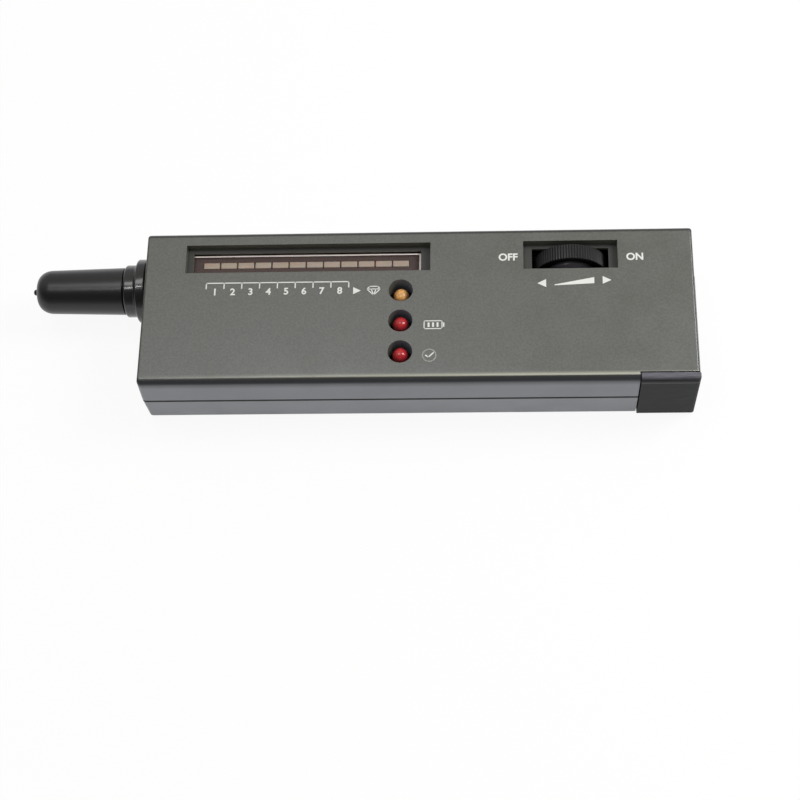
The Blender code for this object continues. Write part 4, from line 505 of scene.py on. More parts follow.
TABLE_LEFT = 133.4
TABLE_RIGHT = 79.6
TABLE_TOP = 31.1
TABLE_BOTTOM = 5.66
TABLE_COLUMNS = (120.2, 106.85, 106.0, 93.2, 92.4)
TABLE_ROWS = (24.75, 18.4, 12.0)
TABLE_NUMBERS = ((5, 6, 7), (3, 4, 5), (1, 2, 3))
TABLE_DIGIT = 1.75 * MM
TABLE_HEAD = 1.6 * MM
REAR_FACING = (-1, 1, -1)
upright_x = (TABLE_LEFT, *TABLE_COLUMNS, TABLE_RIGHT)
level_y = (TABLE_TOP, *TABLE_ROWS, TABLE_BOTTOM)
table_lines = lines([(x, TABLE_TOP) for x in upright_x], [(x, TABLE_BOTTOM) for x in upright_x], 0.26 * MM)
table_lines += lines([(TABLE_LEFT, y) for y in level_y], [(TABLE_RIGHT, y) for y in level_y], 0.26 * MM)
table_lines += lines([(TABLE_LEFT, TABLE_TOP)], [(TABLE_COLUMNS[0], TABLE_ROWS[0])], 0.26 * MM)
column_x = [(TABLE_COLUMNS[0] + TABLE_COLUMNS[1]) / 2, (TABLE_COLUMNS[2] + TABLE_COLUMNS[3]) / 2,
            (TABLE_COLUMNS[4] + TABLE_RIGHT) / 2]
row_y = [(high + low) / 2 for high, low in zip(level_y[1:], level_y[2:])]
head_x = (TABLE_LEFT + TABLE_COLUMNS[0]) / 2
head_y = (TABLE_TOP + TABLE_ROWS[0]) / 2
table_words = [
    word(str(TABLE_NUMBERS[row][column]), (column_x[column], row_y[row]), TABLE_DIGIT, 0.008, REAR_FACING)
    for row in range(len(row_y)) for column in range(len(column_x))
]
for text, x in zip(("10°", "10~30°", "30°"), column_x):
    table_words.append(word(text, (x, head_y), TABLE_HEAD, 0.008, REAR_FACING))
for text, y in zip(("0.05", "0.06~0.5", "0.6"), row_y):
    table_words.append(word(text, (head_x, y), TABLE_HEAD, 0.008, REAR_FACING))
printing("table_print", table_lines, table_words, REAR_Z, -1)

# Display
# A tinted window sits under the recess. Behind it a pale moulded frame holds a brown mask with a row of
# twelve bar lights, each a milky block with a thin dark gap to the next.

FILLET_STEPS = 4
BAR_EDGE = 0.14 * MM
DIVIDER_GAP = 0.03 * MM
OPENING_START, OPENING_END = 12.9, 74.45
OPENING_NEAR, OPENING_FAR = 34.0, 40.0
STRIP_OFF_EDGE = 0.35
STRIP_HEIGHT = 0.05 * MM
STRIP_WIDTH = 0.34 * MM
BAR_TALLER = 0.18 * MM
END_STRIP_WIDTH = 0.5 * MM
STRIP_EDGE = 0.015 * MM


def skin(name, grid, ring=False):
    """A closed surface through a grid of points, as arrays: each face joins a point, the next one in its row,
    and the two below them. Rows go all the way round. The first and last row are joined to each other in a
    ring, and otherwise each is closed, at its pole or by a flat end."""
    rows, columns = grid.shape[:2]
    index = np.arange(rows * columns).reshape(rows, columns)
    if ring:
        index = np.vstack((index, index[:1]))
    beside = np.roll(index, -1, axis=1)
    faces = np.stack((index[:-1], beside[:-1], beside[1:], index[1:]), axis=-1).reshape(-1, 4)
    mesh = bpy.data.meshes.new(name)
    mesh.from_pydata(grid.reshape(-1, 3).tolist(), [], faces.tolist())
    shape = bmesh.new()
    shape.from_mesh(mesh)
    bmesh.ops.remove_doubles(shape, verts=shape.verts, dist=SEAM_WIDTH)
    bmesh.ops.dissolve_degenerate(shape, edges=shape.edges, dist=SEAM_WIDTH)
    bmesh.ops.holes_fill(shape, edges=[edge for edge in shape.edges if edge.is_boundary], sides=0)
    bmesh.ops.recalc_face_normals(shape, faces=shape.faces)
    for edge in shape.edges:
        edge.smooth = not edge.is_manifold or edge.calc_face_angle(0) < SHARP_ANGLE
    for face in shape.faces:
        face.smooth = True
    shape.to_mesh(mesh)
    shape.free()
    return mesh


def joined(name, meshes):
    """One mesh that holds several closed ones."""
    shape = bmesh.new()
    for mesh in meshes:
        shape.from_mesh(mesh)
        bpy.data.meshes.remove(mesh)
    whole = bpy.data.meshes.new(name)
    shape.to_mesh(whole)
    shape.free()
    return whole


def rounded_block(name, low, high, radius):
    """A block with round edges: a sphere of the edge's radius is cut into its eight parts, and each part is moved
    out to its corner, so the flat sides open between them."""
    low, high = np.array(low), np.array(high)
    inner = (high - low) / 2 - radius
    quarter = np.linspace(0, np.pi / 2, FILLET_STEPS + 1)
    tilt = np.concatenate((quarter - np.pi / 2, quarter))[:, None]
    turn = np.concatenate([quarter + np.pi / 2 * i for i in range(4)])[None, :]
    above = np.repeat((-1, 1), FILLET_STEPS + 1)[:, None]
    right = np.repeat((1, -1, -1, 1), FILLET_STEPS + 1)[None, :]
    front = np.repeat((1, 1, -1, -1), FILLET_STEPS + 1)[None, :]
    x = inner[0] * right + radius * np.cos(tilt) * np.cos(turn)
    y = inner[1] * front + radius * np.cos(tilt) * np.sin(turn)
    z = inner[2] * above + radius * np.sin(tilt) * np.ones_like(turn)
    return skin(name, np.stack((x, y, z), axis=-1) + (low + high) / 2)


def dressed(node, material):
    """Gives a node that is shown as it is a finish of its own."""
    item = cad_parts[node]
    item.data.materials.clear()
    item.data.materials.append(material)
    return item


def tinted_window():
    """Clear brown plastic with a polished face: most of the light goes through, a little is held back."""
    material, shader = new_finish("tinted_window", 0.05, Specular_IOR_Level=0.2, Alpha=0.16)
    smear = spots(material, 5.0 * MM, (4, 1, 1), 3.0)
    brown = mixed(material, smear, seen(52, 30, 26), seen(60, 36, 31))
    material.node_tree.links.new(brown, shader.inputs["Base Color"])
    material.surface_render_method = "BLENDED"
    return material


def milky_bar():
    """Milky light guide: pale grey-pink, with a soft cloud in it and light let in under its skin."""
    return finished("milky_bar", seen(226, 208, 190), 0.3, 0.5 * MM, 0.004 * MM, 0.06,
                    Subsurface_Weight=0.3, Subsurface_Scale=0.4 * MM)


window = dressed("display_window", tinted_window())
frame_white = finished("frame_white", seen(232, 222, 216), 0.4, 0.3 * MM, 0.004 * MM, 0.04)
dressed("display_frame", frame_white)
mask_brown = finished("mask_brown", seen(98, 84, 80), 0.6, 0.35 * MM, 0.006 * MM, 0.08)
dressed("display_mask", mask_brown)
bar_finish = milky_bar()
bar_nodes = sorted(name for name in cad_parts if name.startswith("bar_light_"))
for node in bar_nodes:
    low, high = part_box(node)
    bar = place_piece(node + "_guide", rounded_block(node, low, high + Vector((0, BAR_TALLER, 0)), BAR_EDGE),
                      bar_finish, "case")
    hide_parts(node)
dividers = []
for left, right in zip(bar_nodes, bar_nodes[1:]):
    low, high = Vector(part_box(left)[1]), Vector(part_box(right)[0])
    dividers.append(rounded_block(
        "divider", (low.x + DIVIDER_GAP, high.y + BAR_EDGE, high.z), (high.x - DIVIDER_GAP, low.y - BAR_EDGE, low.z - 0.12 * MM),
        0.05 * MM,
    ))
divider_row = place_piece("bar_dividers", joined("bar_dividers", dividers), mask_brown, "case")
window_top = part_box("display_window")[1].z
strip_top = window_top + STRIP_HEIGHT
far_strip = rounded_block(
    "far_strip", (*on_case(OPENING_START + 0.1, OPENING_FAR - STRIP_OFF_EDGE - STRIP_WIDTH / MM)[:2], window_top),
    (*on_case(OPENING_END - 0.03, OPENING_FAR - STRIP_OFF_EDGE)[:2], strip_top), STRIP_EDGE,
)
end_strip = rounded_block(
    "end_strip", (*on_case(OPENING_END - END_STRIP_WIDTH / MM, OPENING_NEAR + 0.05)[:2], window_top),
    (*on_case(OPENING_END - 0.03, OPENING_FAR - STRIP_OFF_EDGE - STRIP_WIDTH / MM - 0.02)[:2], strip_top),
    STRIP_EDGE,
)
strip = place_piece("window_strip", joined("window_strip", [far_strip, end_strip]), frame_white, "case")
strip.visible_shadow = False

# Lamps
# Three domed lamps of cast resin, one amber and two red, each with a flange at its foot. A metal cup and
# two posts are cast inside, and the posts go on down to the board as its leads.

LAMP_RADIUS = 2.15 * MM
LAMP_FLANGE_RADIUS = 2.35 * MM
LAMP_FLANGE = 0.8 * MM
LAMP_LENGTH = 5.4 * MM
LAMP_SIDES = 48
DOME_STEPS = 14
POST_HALF = 0.26 * MM
POST_SPACING = 2.5 * MM
CUP_RADIUS = 0.85 * MM
CUP_DEPTH_BELOW_TOP = 2.3 * MM


def filleted(corners, radii, ring=False):
    """An outline with each corner rounded: the arc of radius r touches the two edges at r / tan(half the corner's
    angle), its centre lies r / sin(half the angle) in from the corner, and its points sweep evenly between
    the two places where it touches."""
    corner = np.array(corners, float)
    radius = np.broadcast_to(radii, len(corner)).astype(float)[:, None]
    back = np.roll(corner, 1, axis=0) - corner
    ahead = np.roll(corner, -1, axis=0) - corner
    back /= np.maximum(np.linalg.norm(back, axis=1, keepdims=True), 1e-12)
    ahead /= np.maximum(np.linalg.norm(ahead, axis=1, keepdims=True), 1e-12)
    half = np.arccos(np.clip((back * ahead).sum(axis=1, keepdims=True), -1, 1)) / 2
    inward = back + ahead
    inward /= np.maximum(np.linalg.norm(inward, axis=1, keepdims=True), 1e-12)
    reach = radius / np.maximum(np.tan(half), 1e-9)
    centre = corner + inward * radius / np.maximum(np.sin(half), 1e-9)
    sweep = np.maximum(np.pi - 2 * half, 1e-6)[:, None]
    share = np.linspace(0, 1, FILLET_STEPS + 1)[None, :, None]
    first = (corner + back * reach - centre)[:, None]
    last = (corner + ahead * reach - centre)[:, None]
    arcs = centre[:, None] + (
        first * np.sin((1 - share) * sweep) + last * np.sin(share * sweep)
    ) / np.sin(sweep)
    points = arcs.reshape(-1, 2)
    fresh = np.linalg.norm(points - np.roll(points, 1, axis=0), axis=1) > SEAM_WIDTH
    fresh[0] = fresh[0] or not ring
    return points[fresh]


def turned(name, outline, foot, axis, sides=LAMP_SIDES, ring=False, groove=None):
    """A turned surface: each outline point (along, radius) is carried round the axis from foot in equal steps.
    groove(radius, angle) gives how much is taken off the radius there."""
    outline = np.array(outline, float)
    axis = np.array(axis, float)
    level = np.array((1.0, 0, 0)) if abs(axis[2]) > 0.5 else np.array((0, 0, 1.0))
    side = np.cross(axis, level)
    angle = np.linspace(0, 2 * np.pi, sides, endpoint=False)
    spoke = np.cos(angle)[:, None] * level + np.sin(angle)[:, None] * side
    radius = outline[:, 1, None] * np.ones(sides)
    if groove is not None:
        radius = radius - groove(radius, angle[None, :])
    grid = np.array(foot) + outline[:, 0, None, None] * axis + radius[:, :, None] * spoke
    return skin(name, grid, ring)


def dome(along, radius, length=None):
    """Outline points of a rounded end: a quarter of an ellipse from its pole to its full radius."""
    angle = np.linspace(0, np.pi / 2, DOME_STEPS)
    return np.stack((along + (length or radius) * (1 - np.cos(angle)), radius * np.sin(angle)), axis=1)


def off_axis(mesh, middle):
    """Keeps with each vertex how far it lies from a lamp's axis, as a share of the lamp's radius."""
    points = np.empty(len(mesh.vertices) * 3)
    mesh.vertices.foreach_get("co", points)
    points = points.reshape(-1, 3)[:, :2] - np.array(middle[:2])
    share = mesh.attributes.new("off_axis", "FLOAT", "POINT")
    share.data.foreach_set("value", (np.linalg.norm(points, axis=1) / LAMP_RADIUS).astype(np.float32))


def cast_resin(name, colour, rim_shade_colour, clear, cloud):
    """Cast resin: see-through by the share clear, pale and cloudy over the cup inside, and darkened towards its rim
    with painted shade.
    """
    material, shader = new_finish(name, 0.11, Transmission_Weight=clear, IOR=1.5)
    drift = spots(material, 0.9 * MM, detail=3.0)
    tint = mixed(material, ranged(material, drift, (0.38, 0.62), (0, 1)), dimmed(colour, 1 - cloud),
                 dimmed(colour, 1 + cloud))
    outward = material.node_tree.nodes.new("ShaderNodeAttribute")
    outward.attribute_name = "off_axis"
    # Painted shade: the colour darkens towards the dome's rim, by the distance from the lamp's axis.
    rim_shade = ranged(material, outward.outputs["Fac"], (0.62, 0.95), (0, 0.85))
    material.node_tree.links.new(mixed(material, rim_shade, tint, rim_shade_colour), shader.inputs["Base Color"])
    return material


tin = finished("tinned_post", seen(196, 194, 188), 0.3, 0.2 * MM, 0.003 * MM, 0.06, metallic=1.0)
red_resin = cast_resin("red_resin", seen(196, 46, 50), seen(120, 20, 28), 0.25, 0.14)
amber_resin = cast_resin("amber_resin", seen(238, 178, 108), seen(128, 66, 18), 0.12, 0.24)
lamp_finishes = {"lamp_amber": amber_resin, "lamp_red_1": red_resin, "lamp_red_2": red_resin}
for node, resin in lamp_finishes.items():
    low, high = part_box(node)
    middle = (low + high) / 2
    top = Vector((middle.x, middle.y, high.z))
    body = [
        *dome(0, LAMP_RADIUS),
        *filleted([
            (LAMP_RADIUS, LAMP_RADIUS), (LAMP_LENGTH - LAMP_FLANGE, LAMP_RADIUS),
            (LAMP_LENGTH - LAMP_FLANGE, LAMP_FLANGE_RADIUS), (LAMP_LENGTH, LAMP_FLANGE_RADIUS),
            (LAMP_LENGTH, 0),
        ], [0, 0.1 * MM, 0.15 * MM, 0.1 * MM, 0])[1:],
    ]
    lens = turned(node, body, top, (0, 0, -1))
    off_axis(lens, middle)
    lamp = place_piece(node + "_lens", lens, resin, "case")
    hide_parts(node)
    cup_z = high.z - CUP_DEPTH_BELOW_TOP
    cup = turned("cup", filleted([
        (0, 0), (0.5 * MM, 0.3 * MM), (0, CUP_RADIUS * 0.8), (0, CUP_RADIUS), (0.9 * MM, CUP_RADIUS), (0.9 * MM, 0),
    ], [0, 0.05 * MM, 0.03 * MM, 0.03 * MM, 0.05 * MM, 0]), (top.x, top.y, cup_z), (0, 0, -1), 32)
    posts = [
        rounded_block(
            "post", (top.x + side * POST_SPACING / 2 - POST_HALF, top.y - POST_HALF, low.z),
            (top.x + side * POST_SPACING / 2 + POST_HALF, top.y + POST_HALF, cup_z - 0.95 * MM), 0.08 * MM,
        )
        for side in (-1, 1)
    ]
    lead_frame = place_piece(node + "_lead_frame", joined(node + "_lead_frame", [cup, *posts]), tin, "case")

# Thumbwheel and its potentiometer
# A black moulded wheel with eighty fine ribs round its tread and a dished near face. A screw through its
# hub holds it on the potentiometer, whose three lugs are soldered to the board.

WHEEL_TEETH = 80
TOOTH_DEPTH = 0.22 * MM
TOOTH_STEPS = 8
WHEEL_RIM = 0.95 * MM
WHEEL_DISH = 0.9 * MM
HUB_RADIUS = 4.2 * MM
BOSS_FRONT = 0.85 * MM
BOSS_RADIUS = 6.4 * MM
BOSS_SHOULDER = 1.65 * MM
HUB_HEIGHT = 0.7 * MM
HUB_BORE = 1.3 * MM
SCREW_DOME = 0.6 * MM
SCREW_HEAD = 0.9 * MM
SCREW_SHANK = 1.15 * MM


def ribbed(outer):
    """Grooves of a ribbed tread: a rounded rib between two narrow valleys, fading out below the outer radius."""
    def groove(radius, angle):
        valley = (0.5 + 0.5 * np.cos(WHEEL_TEETH * angle)) ** 1.5
        near_edge = np.clip((radius - outer + 2 * TOOTH_DEPTH) / TOOTH_DEPTH, 0, 1)
        return TOOTH_DEPTH * valley * near_edge
    return groove


wheel_low, wheel_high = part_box("thumbwheel")
wheel_radius = (wheel_high.z - wheel_low.z) / 2
wheel_width = wheel_high.y - wheel_low.y
wheel_foot = Vector(((wheel_low.x + wheel_high.x) / 2, wheel_low.y, (wheel_low.z + wheel_high.z) / 2))
hub_face = WHEEL_DISH - HUB_HEIGHT
wheel_outline = filleted([
    (0, wheel_radius), (wheel_width, wheel_radius), (wheel_width, HUB_BORE), (hub_face, HUB_BORE),
    (hub_face, HUB_RADIUS), (WHEEL_DISH, HUB_RADIUS + 0.25 * MM), (WHEEL_DISH, wheel_radius - WHEEL_RIM - 0.3 * MM),
    (0, wheel_radius - WHEEL_RIM),
], [0.22 * MM, 0.22 * MM, 0.1 * MM, 0.1 * MM, 0.2 * MM, 0.25 * MM, 0.4 * MM, 0.2 * MM], ring=True)
wheel_black = finished("wheel_black", seen(26, 25, 26), 0.5, 0.3 * MM, 0.004 * MM, 0.14, Specular_IOR_Level=0.3)
wheel_mesh = turned("thumbwheel", wheel_outline, wheel_foot, (0, 1, 0), WHEEL_TEETH * TOOTH_STEPS, True,
                    ribbed(wheel_radius))
wheel = place_piece("ribbed_wheel", wheel_mesh, wheel_black, "thumbwheel")
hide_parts("thumbwheel")
boss_outline = filleted([
    (-BOSS_FRONT, HUB_BORE + 0.9 * MM), (-BOSS_FRONT, BOSS_RADIUS), (WHEEL_DISH + 0.02 * MM, BOSS_RADIUS),
    (WHEEL_DISH + 0.02 * MM, HUB_BORE + 0.9 * MM),
], [0.15 * MM, BOSS_SHOULDER, 0.02 * MM, 0.02 * MM], ring=True)
# Painted light: the boss is painted a much paler grey than the black wheel it is part of, as light on the hub down in
# the recess.
hub_gloss_painted_light = finished("hub_gloss_painted_light", seen(84, 81, 88), 0.24, 0.2 * MM, 0.001 * MM, 0.1)
boss = place_piece("wheel_boss", turned("wheel_boss", boss_outline, wheel_foot, (0, 1, 0), 96, True), hub_gloss_painted_light,
                   "thumbwheel")
bright_nickel = finished("bright_nickel", seen(214, 208, 200), 0.2, 0.15 * MM, 0.002 * MM, 0.06, metallic=1.0)
screw_low, screw_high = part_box("wheel_screw")
screw_radius = (screw_high.x - screw_low.x) / 2
screw_length = screw_high.y - screw_low.y
screw_outline = np.vstack((
    dome(0, screw_radius, SCREW_DOME),
    filleted([
        (SCREW_DOME, screw_radius), (SCREW_HEAD, screw_radius), (SCREW_HEAD, SCREW_SHANK),
        (screw_length, SCREW_SHANK), (screw_length, 0),
    ], [0, 0.08 * MM, 0.05 * MM, 0.1 * MM, 0])[1:],
))
wheel_screw = place_piece("wheel_screw_domed", turned(
    "wheel_screw_domed", screw_outline, (wheel_foot.x, screw_low.y, wheel_foot.z), (0, 1, 0), 40,
), bright_nickel, "thumbwheel")
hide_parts("wheel_screw")

# Probe
# The black collar is turned and polished; its neck carries the push-on cap, and a hexagon nut behind the
# end wall holds it. A nickel-plated barrel runs through it to the insulating nose and the copper tip.

PROBE_SIDES = 96
CAP_SIDES = 96
probe_axis = (-1, 0, 0)
collar_low, collar_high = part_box("probe_collar")
probe_y = (collar_low.y + collar_high.y) / 2
probe_z = (collar_low.z + collar_high.z) / 2


def probe_piece(node, outline, material, body, ring=True, sides=PROBE_SIDES, name=None):
    """Turns an outline about the probe's axis, starting from the node's end next to the case."""
    foot = (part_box(node)[1].x, probe_y, probe_z)
    piece = place_piece(name or node + "_turned", turned(node, outline, foot, probe_axis, sides, ring),
                        material, body)
    level_faces(piece)
    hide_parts(node)
    return piece


def black_polish(name, colour, roughness, coat):
    """Black moulding with a polished skin: fine scratches along it, faint dust and a clear gloss."""
    return finished(name, colour, roughness, 0.25 * MM, 0.001 * MM, 0.16, (6, 1, 1),
                    Coat_Weight=coat, Coat_Roughness=0.12)


collar_outline = filleted([
    (0, 5.2 * MM), (6.3 * MM, 5.2 * MM), (6.3 * MM, 8.7 * MM), (8.95 * MM, 8.7 * MM), (9.65 * MM, 7.15 * MM),
    (12.55 * MM, 7.15 * MM), (12.55 * MM, 4.9 * MM), (18.55 * MM, 4.9 * MM), (18.55 * MM, 3.8 * MM), (0, 3.8 * MM),
], [0.2 * MM, 0.1 * MM, 0.5 * MM, 0.5 * MM, 0.25 * MM, 0.6 * MM, 0.1 * MM, 0.5 * MM, 0.1 * MM, 0.1 * MM], ring=True)
probe_piece("probe_collar", collar_outline, black_polish("collar_black", seen(25, 24, 24), 0.2, 0.3), "case")
nickel = finished("nickel_plate", seen(205, 198, 184), 0.26, 0.2 * MM, 0.002 * MM, 0.06, metallic=1.0)
dressed("collar_nut", nickel)
barrel_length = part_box("probe_barrel")[1].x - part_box("probe_barrel")[0].x
barrel_outline = filleted([
    (0, 3.5 * MM), (barrel_length, 3.5 * MM), (barrel_length, 2.6 * MM), (0, 2.6 * MM),
], 0.15 * MM, ring=True)
probe_piece("probe_barrel", barrel_outline, nickel, "case")
nose_outline = filleted([
    (0, 2.3 * MM), (2.8 * MM, 2.3 * MM), (2.8 * MM, 3.5 * MM), (3.3 * MM, 3.5 * MM), (7.0 * MM, 1.5 * MM),
    (7.0 * MM, 1.1 * MM), (0, 1.1 * MM),
], [0.1 * MM, 0.05 * MM, 0.1 * MM, 0.2 * MM, 0.15 * MM, 0.1 * MM, 0.1 * MM], ring=True)
bone = finished("bone_resin", seen(216, 209, 192), 0.4, 0.25 * MM, 0.004 * MM, 0.07, Subsurface_Weight=0.15,
                Subsurface_Scale=0.6 * MM)
probe_piece("probe_nose", nose_outline, bone, "case")
copper = finished("copper_tip", seen(190, 116, 78), 0.24, 0.15 * MM, 0.002 * MM, 0.12, metallic=1.0)
tip_low, tip_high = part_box("probe_tip")
tip_length = tip_high.x - tip_low.x
tip_outline = np.vstack((
    filleted([
        (0, 0), (0, 2.3 * MM), (1.4 * MM, 2.3 * MM), (1.4 * MM, 0.8 * MM), (tip_length - 0.8 * MM, 0.8 * MM),
    ], [0, 0.15 * MM, 0.15 * MM, 0.05 * MM, 0]),
    (tip_length, 0) + dome(0, 0.8 * MM)[::-1] * (-1, 1),
))
probe_piece("probe_tip", tip_outline, copper, "probe_tip", ring=False)
heater_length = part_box("tip_heater")[1].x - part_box("tip_heater")[0].x
heater_outline = filleted([(0, 0), (0, 1.9 * MM), (heater_length, 1.9 * MM), (heater_length, 0)],
                          [0, 0.25 * MM, 0.25 * MM, 0])
ceramic = finished("white_ceramic", seen(228, 224, 212), 0.55, 0.2 * MM, 0.006 * MM, 0.05)
probe_piece("tip_heater", heater_outline, ceramic, "probe_tip", ring=False)

# Probe cap
# A black push-on cap, slightly tapered, with a rounded end and the small nub that its moulding left there.

CAP_BORE_LENGTH = 22.8 * MM
CAP_LENGTH = 24.25 * MM
CAP_DOME = 4.2 * MM
CAP_NUB = 1.4 * MM
cap_start = CAP_LENGTH - CAP_DOME
cap_angle = np.linspace(0, np.pi / 2, 2 * DOME_STEPS)[1:]
cap_dome = np.stack((
    cap_start + CAP_DOME * np.sin(cap_angle), 2.6 * MM + (5.95 - 2.6) * MM * np.cos(cap_angle)
), axis=1)
cap_outline = np.vstack((
    filleted([
        (CAP_BORE_LENGTH, 0), (CAP_BORE_LENGTH, 3.0 * MM), (cap_start, 4.6 * MM), (6.3 * MM, 5.2 * MM),
        (0, 5.2 * MM), (0, 6.45 * MM), (cap_start, 5.95 * MM),
    ], [0, 0.5 * MM, 0.5 * MM, 0.3 * MM, 0.2 * MM, 0.25 * MM, 0]),
    cap_dome,
    filleted([
        (CAP_LENGTH, 1.1 * MM), (CAP_LENGTH + 0.2 * MM, 0.9 * MM), (CAP_LENGTH + CAP_NUB, 0.75 * MM),
        (CAP_LENGTH + CAP_NUB, 0),
    ], [0, 0.1 * MM, 0.5 * MM, 0]),
))
cap_black = black_polish("cap_black", seen(24, 22, 23), 0.31, 0.0)
probe_piece("probe_cap", cap_outline, cap_black, "probe_cap", ring=False, sides=CAP_SIDES)

# Battery door
# A separate moulding in darker unpainted plastic, which laps the corner of both faces and slides off
# towards the battery's end. Its wall has faint streaks from the mould.

DOOR_RIM = 0.12 * MM


def door_plastic():
    """Bare dark plastic: dull on its wall, with fine streaks along it. Along its upper edge it is smoother and
    painted much paler, as painted sheen, and a pale band about 2 mm below the face is painted highlight.
    """
    material, shader = new_finish("door_plastic", 0.6, Specular_IOR_Level=0.25)
    streak = spots(material, 0.35 * MM, (12, 1, 1), 3.0)
    cloud = spots(material, 4.0 * MM, (2, 1, 1), 3.0)
    wall = mixed(material, ranged(material, streak, (0.35, 0.65), (0, 1)), seen(27, 28, 28), seen(45, 46, 47))
    wall = mixed(material, ranged(material, cloud, (0.35, 0.65), (0.0, 0.6)), wall, seen(30, 31, 31))
    # Painted sheen: the colour along the door's upper edge is far paler than its wall.
    painted_lip_sheen = mixed(material, ranged(material, streak, (0.35, 0.65), (0, 1)), seen(88, 88, 94), seen(106, 106, 114))
    below_face = worked(material, "SUBTRACT", FACE_Z, along(material, 2))
    on_lip = ranged(material, below_face, (0.02 * MM, 0.55 * MM), (1, 0))
    # Painted highlight: a pale band about 2 mm below the face.
    painted_ridge_highlight = ranged(material, apart(material, below_face, 2.0 * MM), (0.1 * MM, 0.5 * MM), (0.7, 0))
    links = material.node_tree.links
    wall = mixed(material, painted_ridge_highlight, wall, seen(92, 92, 95))
    links.new(mixed(material, on_lip, wall, painted_lip_sheen), shader.inputs["Base Color"])
    links.new(ranged(material, on_lip, (0, 1), (0.62, 0.34)), shader.inputs["Roughness"])
    raised(material, shader, streak, 0.01 * MM)
    return material


door = place_piece("battery_door_skin", merged_copy("battery_door", at_height(FACE_Z)), door_plastic(),
                   "battery_door")
soften(door, DOOR_RIM)
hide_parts("battery_door")

# Touch plate, studs and screws of the rear face
# A brushed metal triangle let into the face, five domed brass studs in a cross, and two nickel-plated
# pan-head screws sunk in round wells.

PLATE_RIM = 0.12 * MM
STUD_RADIUS = 1.2 * MM
STUD_SEAT = 0.95 * MM
STUD_SHANK = 0.7 * MM


def brushed_metal():
    """Brushed sheet: long fine scratches along the case, pale with a warm cast that drifts slowly."""
    material, shader = new_finish("brushed_metal", 0.3, 1.0)
    scratch = spots(material, 0.14 * MM, (50, 1, 1), 4.0)
    cloud = spots(material, 14 * MM, (1, 2, 1), 2.0)
    warm = mixed(material, ranged(material, cloud, (0.35, 0.65), (0, 1)), seen(236, 222, 200),
                 seen(246, 240, 230))
    fine = mixed(material, ranged(material, scratch, (0.3, 0.7), (0, 1)), seen(206, 194, 176),
                 seen(255, 252, 246))
    links = material.node_tree.links
    links.new(mixed(material, 0.45, warm, fine), shader.inputs["Base Color"])
    links.new(ranged(material, scratch, (0.3, 0.7), (0.22, 0.42)), shader.inputs["Roughness"])
    raised(material, shader, scratch, 0.004 * MM)
    return material


plate_low, plate_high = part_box("touch_plate")
plate = place_piece("touch_plate_sheet", merged_copy("touch_plate", at_height(plate_low.z)), brushed_metal(),
                    "case")
soften(plate, PLATE_RIM)
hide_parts("touch_plate")
brass = finished("stud_brass", seen(176, 154, 96), 0.24, 0.2 * MM, 0.003 * MM, 0.16, metallic=1.0)
for node in sorted(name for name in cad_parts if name.startswith("rear_stud_")):
    low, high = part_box(node)
    foot = ((low.x + high.x) / 2, (low.y + high.y) / 2, low.z)
    depth = high.z - low.z
    tail = depth - 0.8 * MM
    stud_outline = np.vstack((
        dome(0, STUD_RADIUS, STUD_SEAT),
        filleted([
            (STUD_SEAT, STUD_RADIUS), (STUD_SEAT, STUD_SHANK), (tail, STUD_SHANK), (tail, STUD_RADIUS),
            (depth, STUD_SHANK), (depth, 0),
        ], [0, 0.02 * MM, 0.05 * MM, 0.1 * MM, 0.1 * MM, 0])[1:],
    ))
    stud = place_piece(node + "_dome", turned(node, stud_outline, foot, (0, 0, 1), 32), brass, "case")
    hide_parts(node)
screw_metal = finished("screw_nickel", seen(212, 204, 188), 0.22, 0.15 * MM, 0.003 * MM, 0.1, metallic=1.0)
for node in ("case_screw_1", "case_screw_2"):
    screw = place_piece(node + "_plated", merged_copy(node, at_height(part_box(node)[0].z)), screw_metal, "case")
    soften(screw, 0.05 * MM)
    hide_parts(node)

# Pieces inside the case
# The board with its parts, the battery with its snap connector and leads, and the buzzer behind the studs.

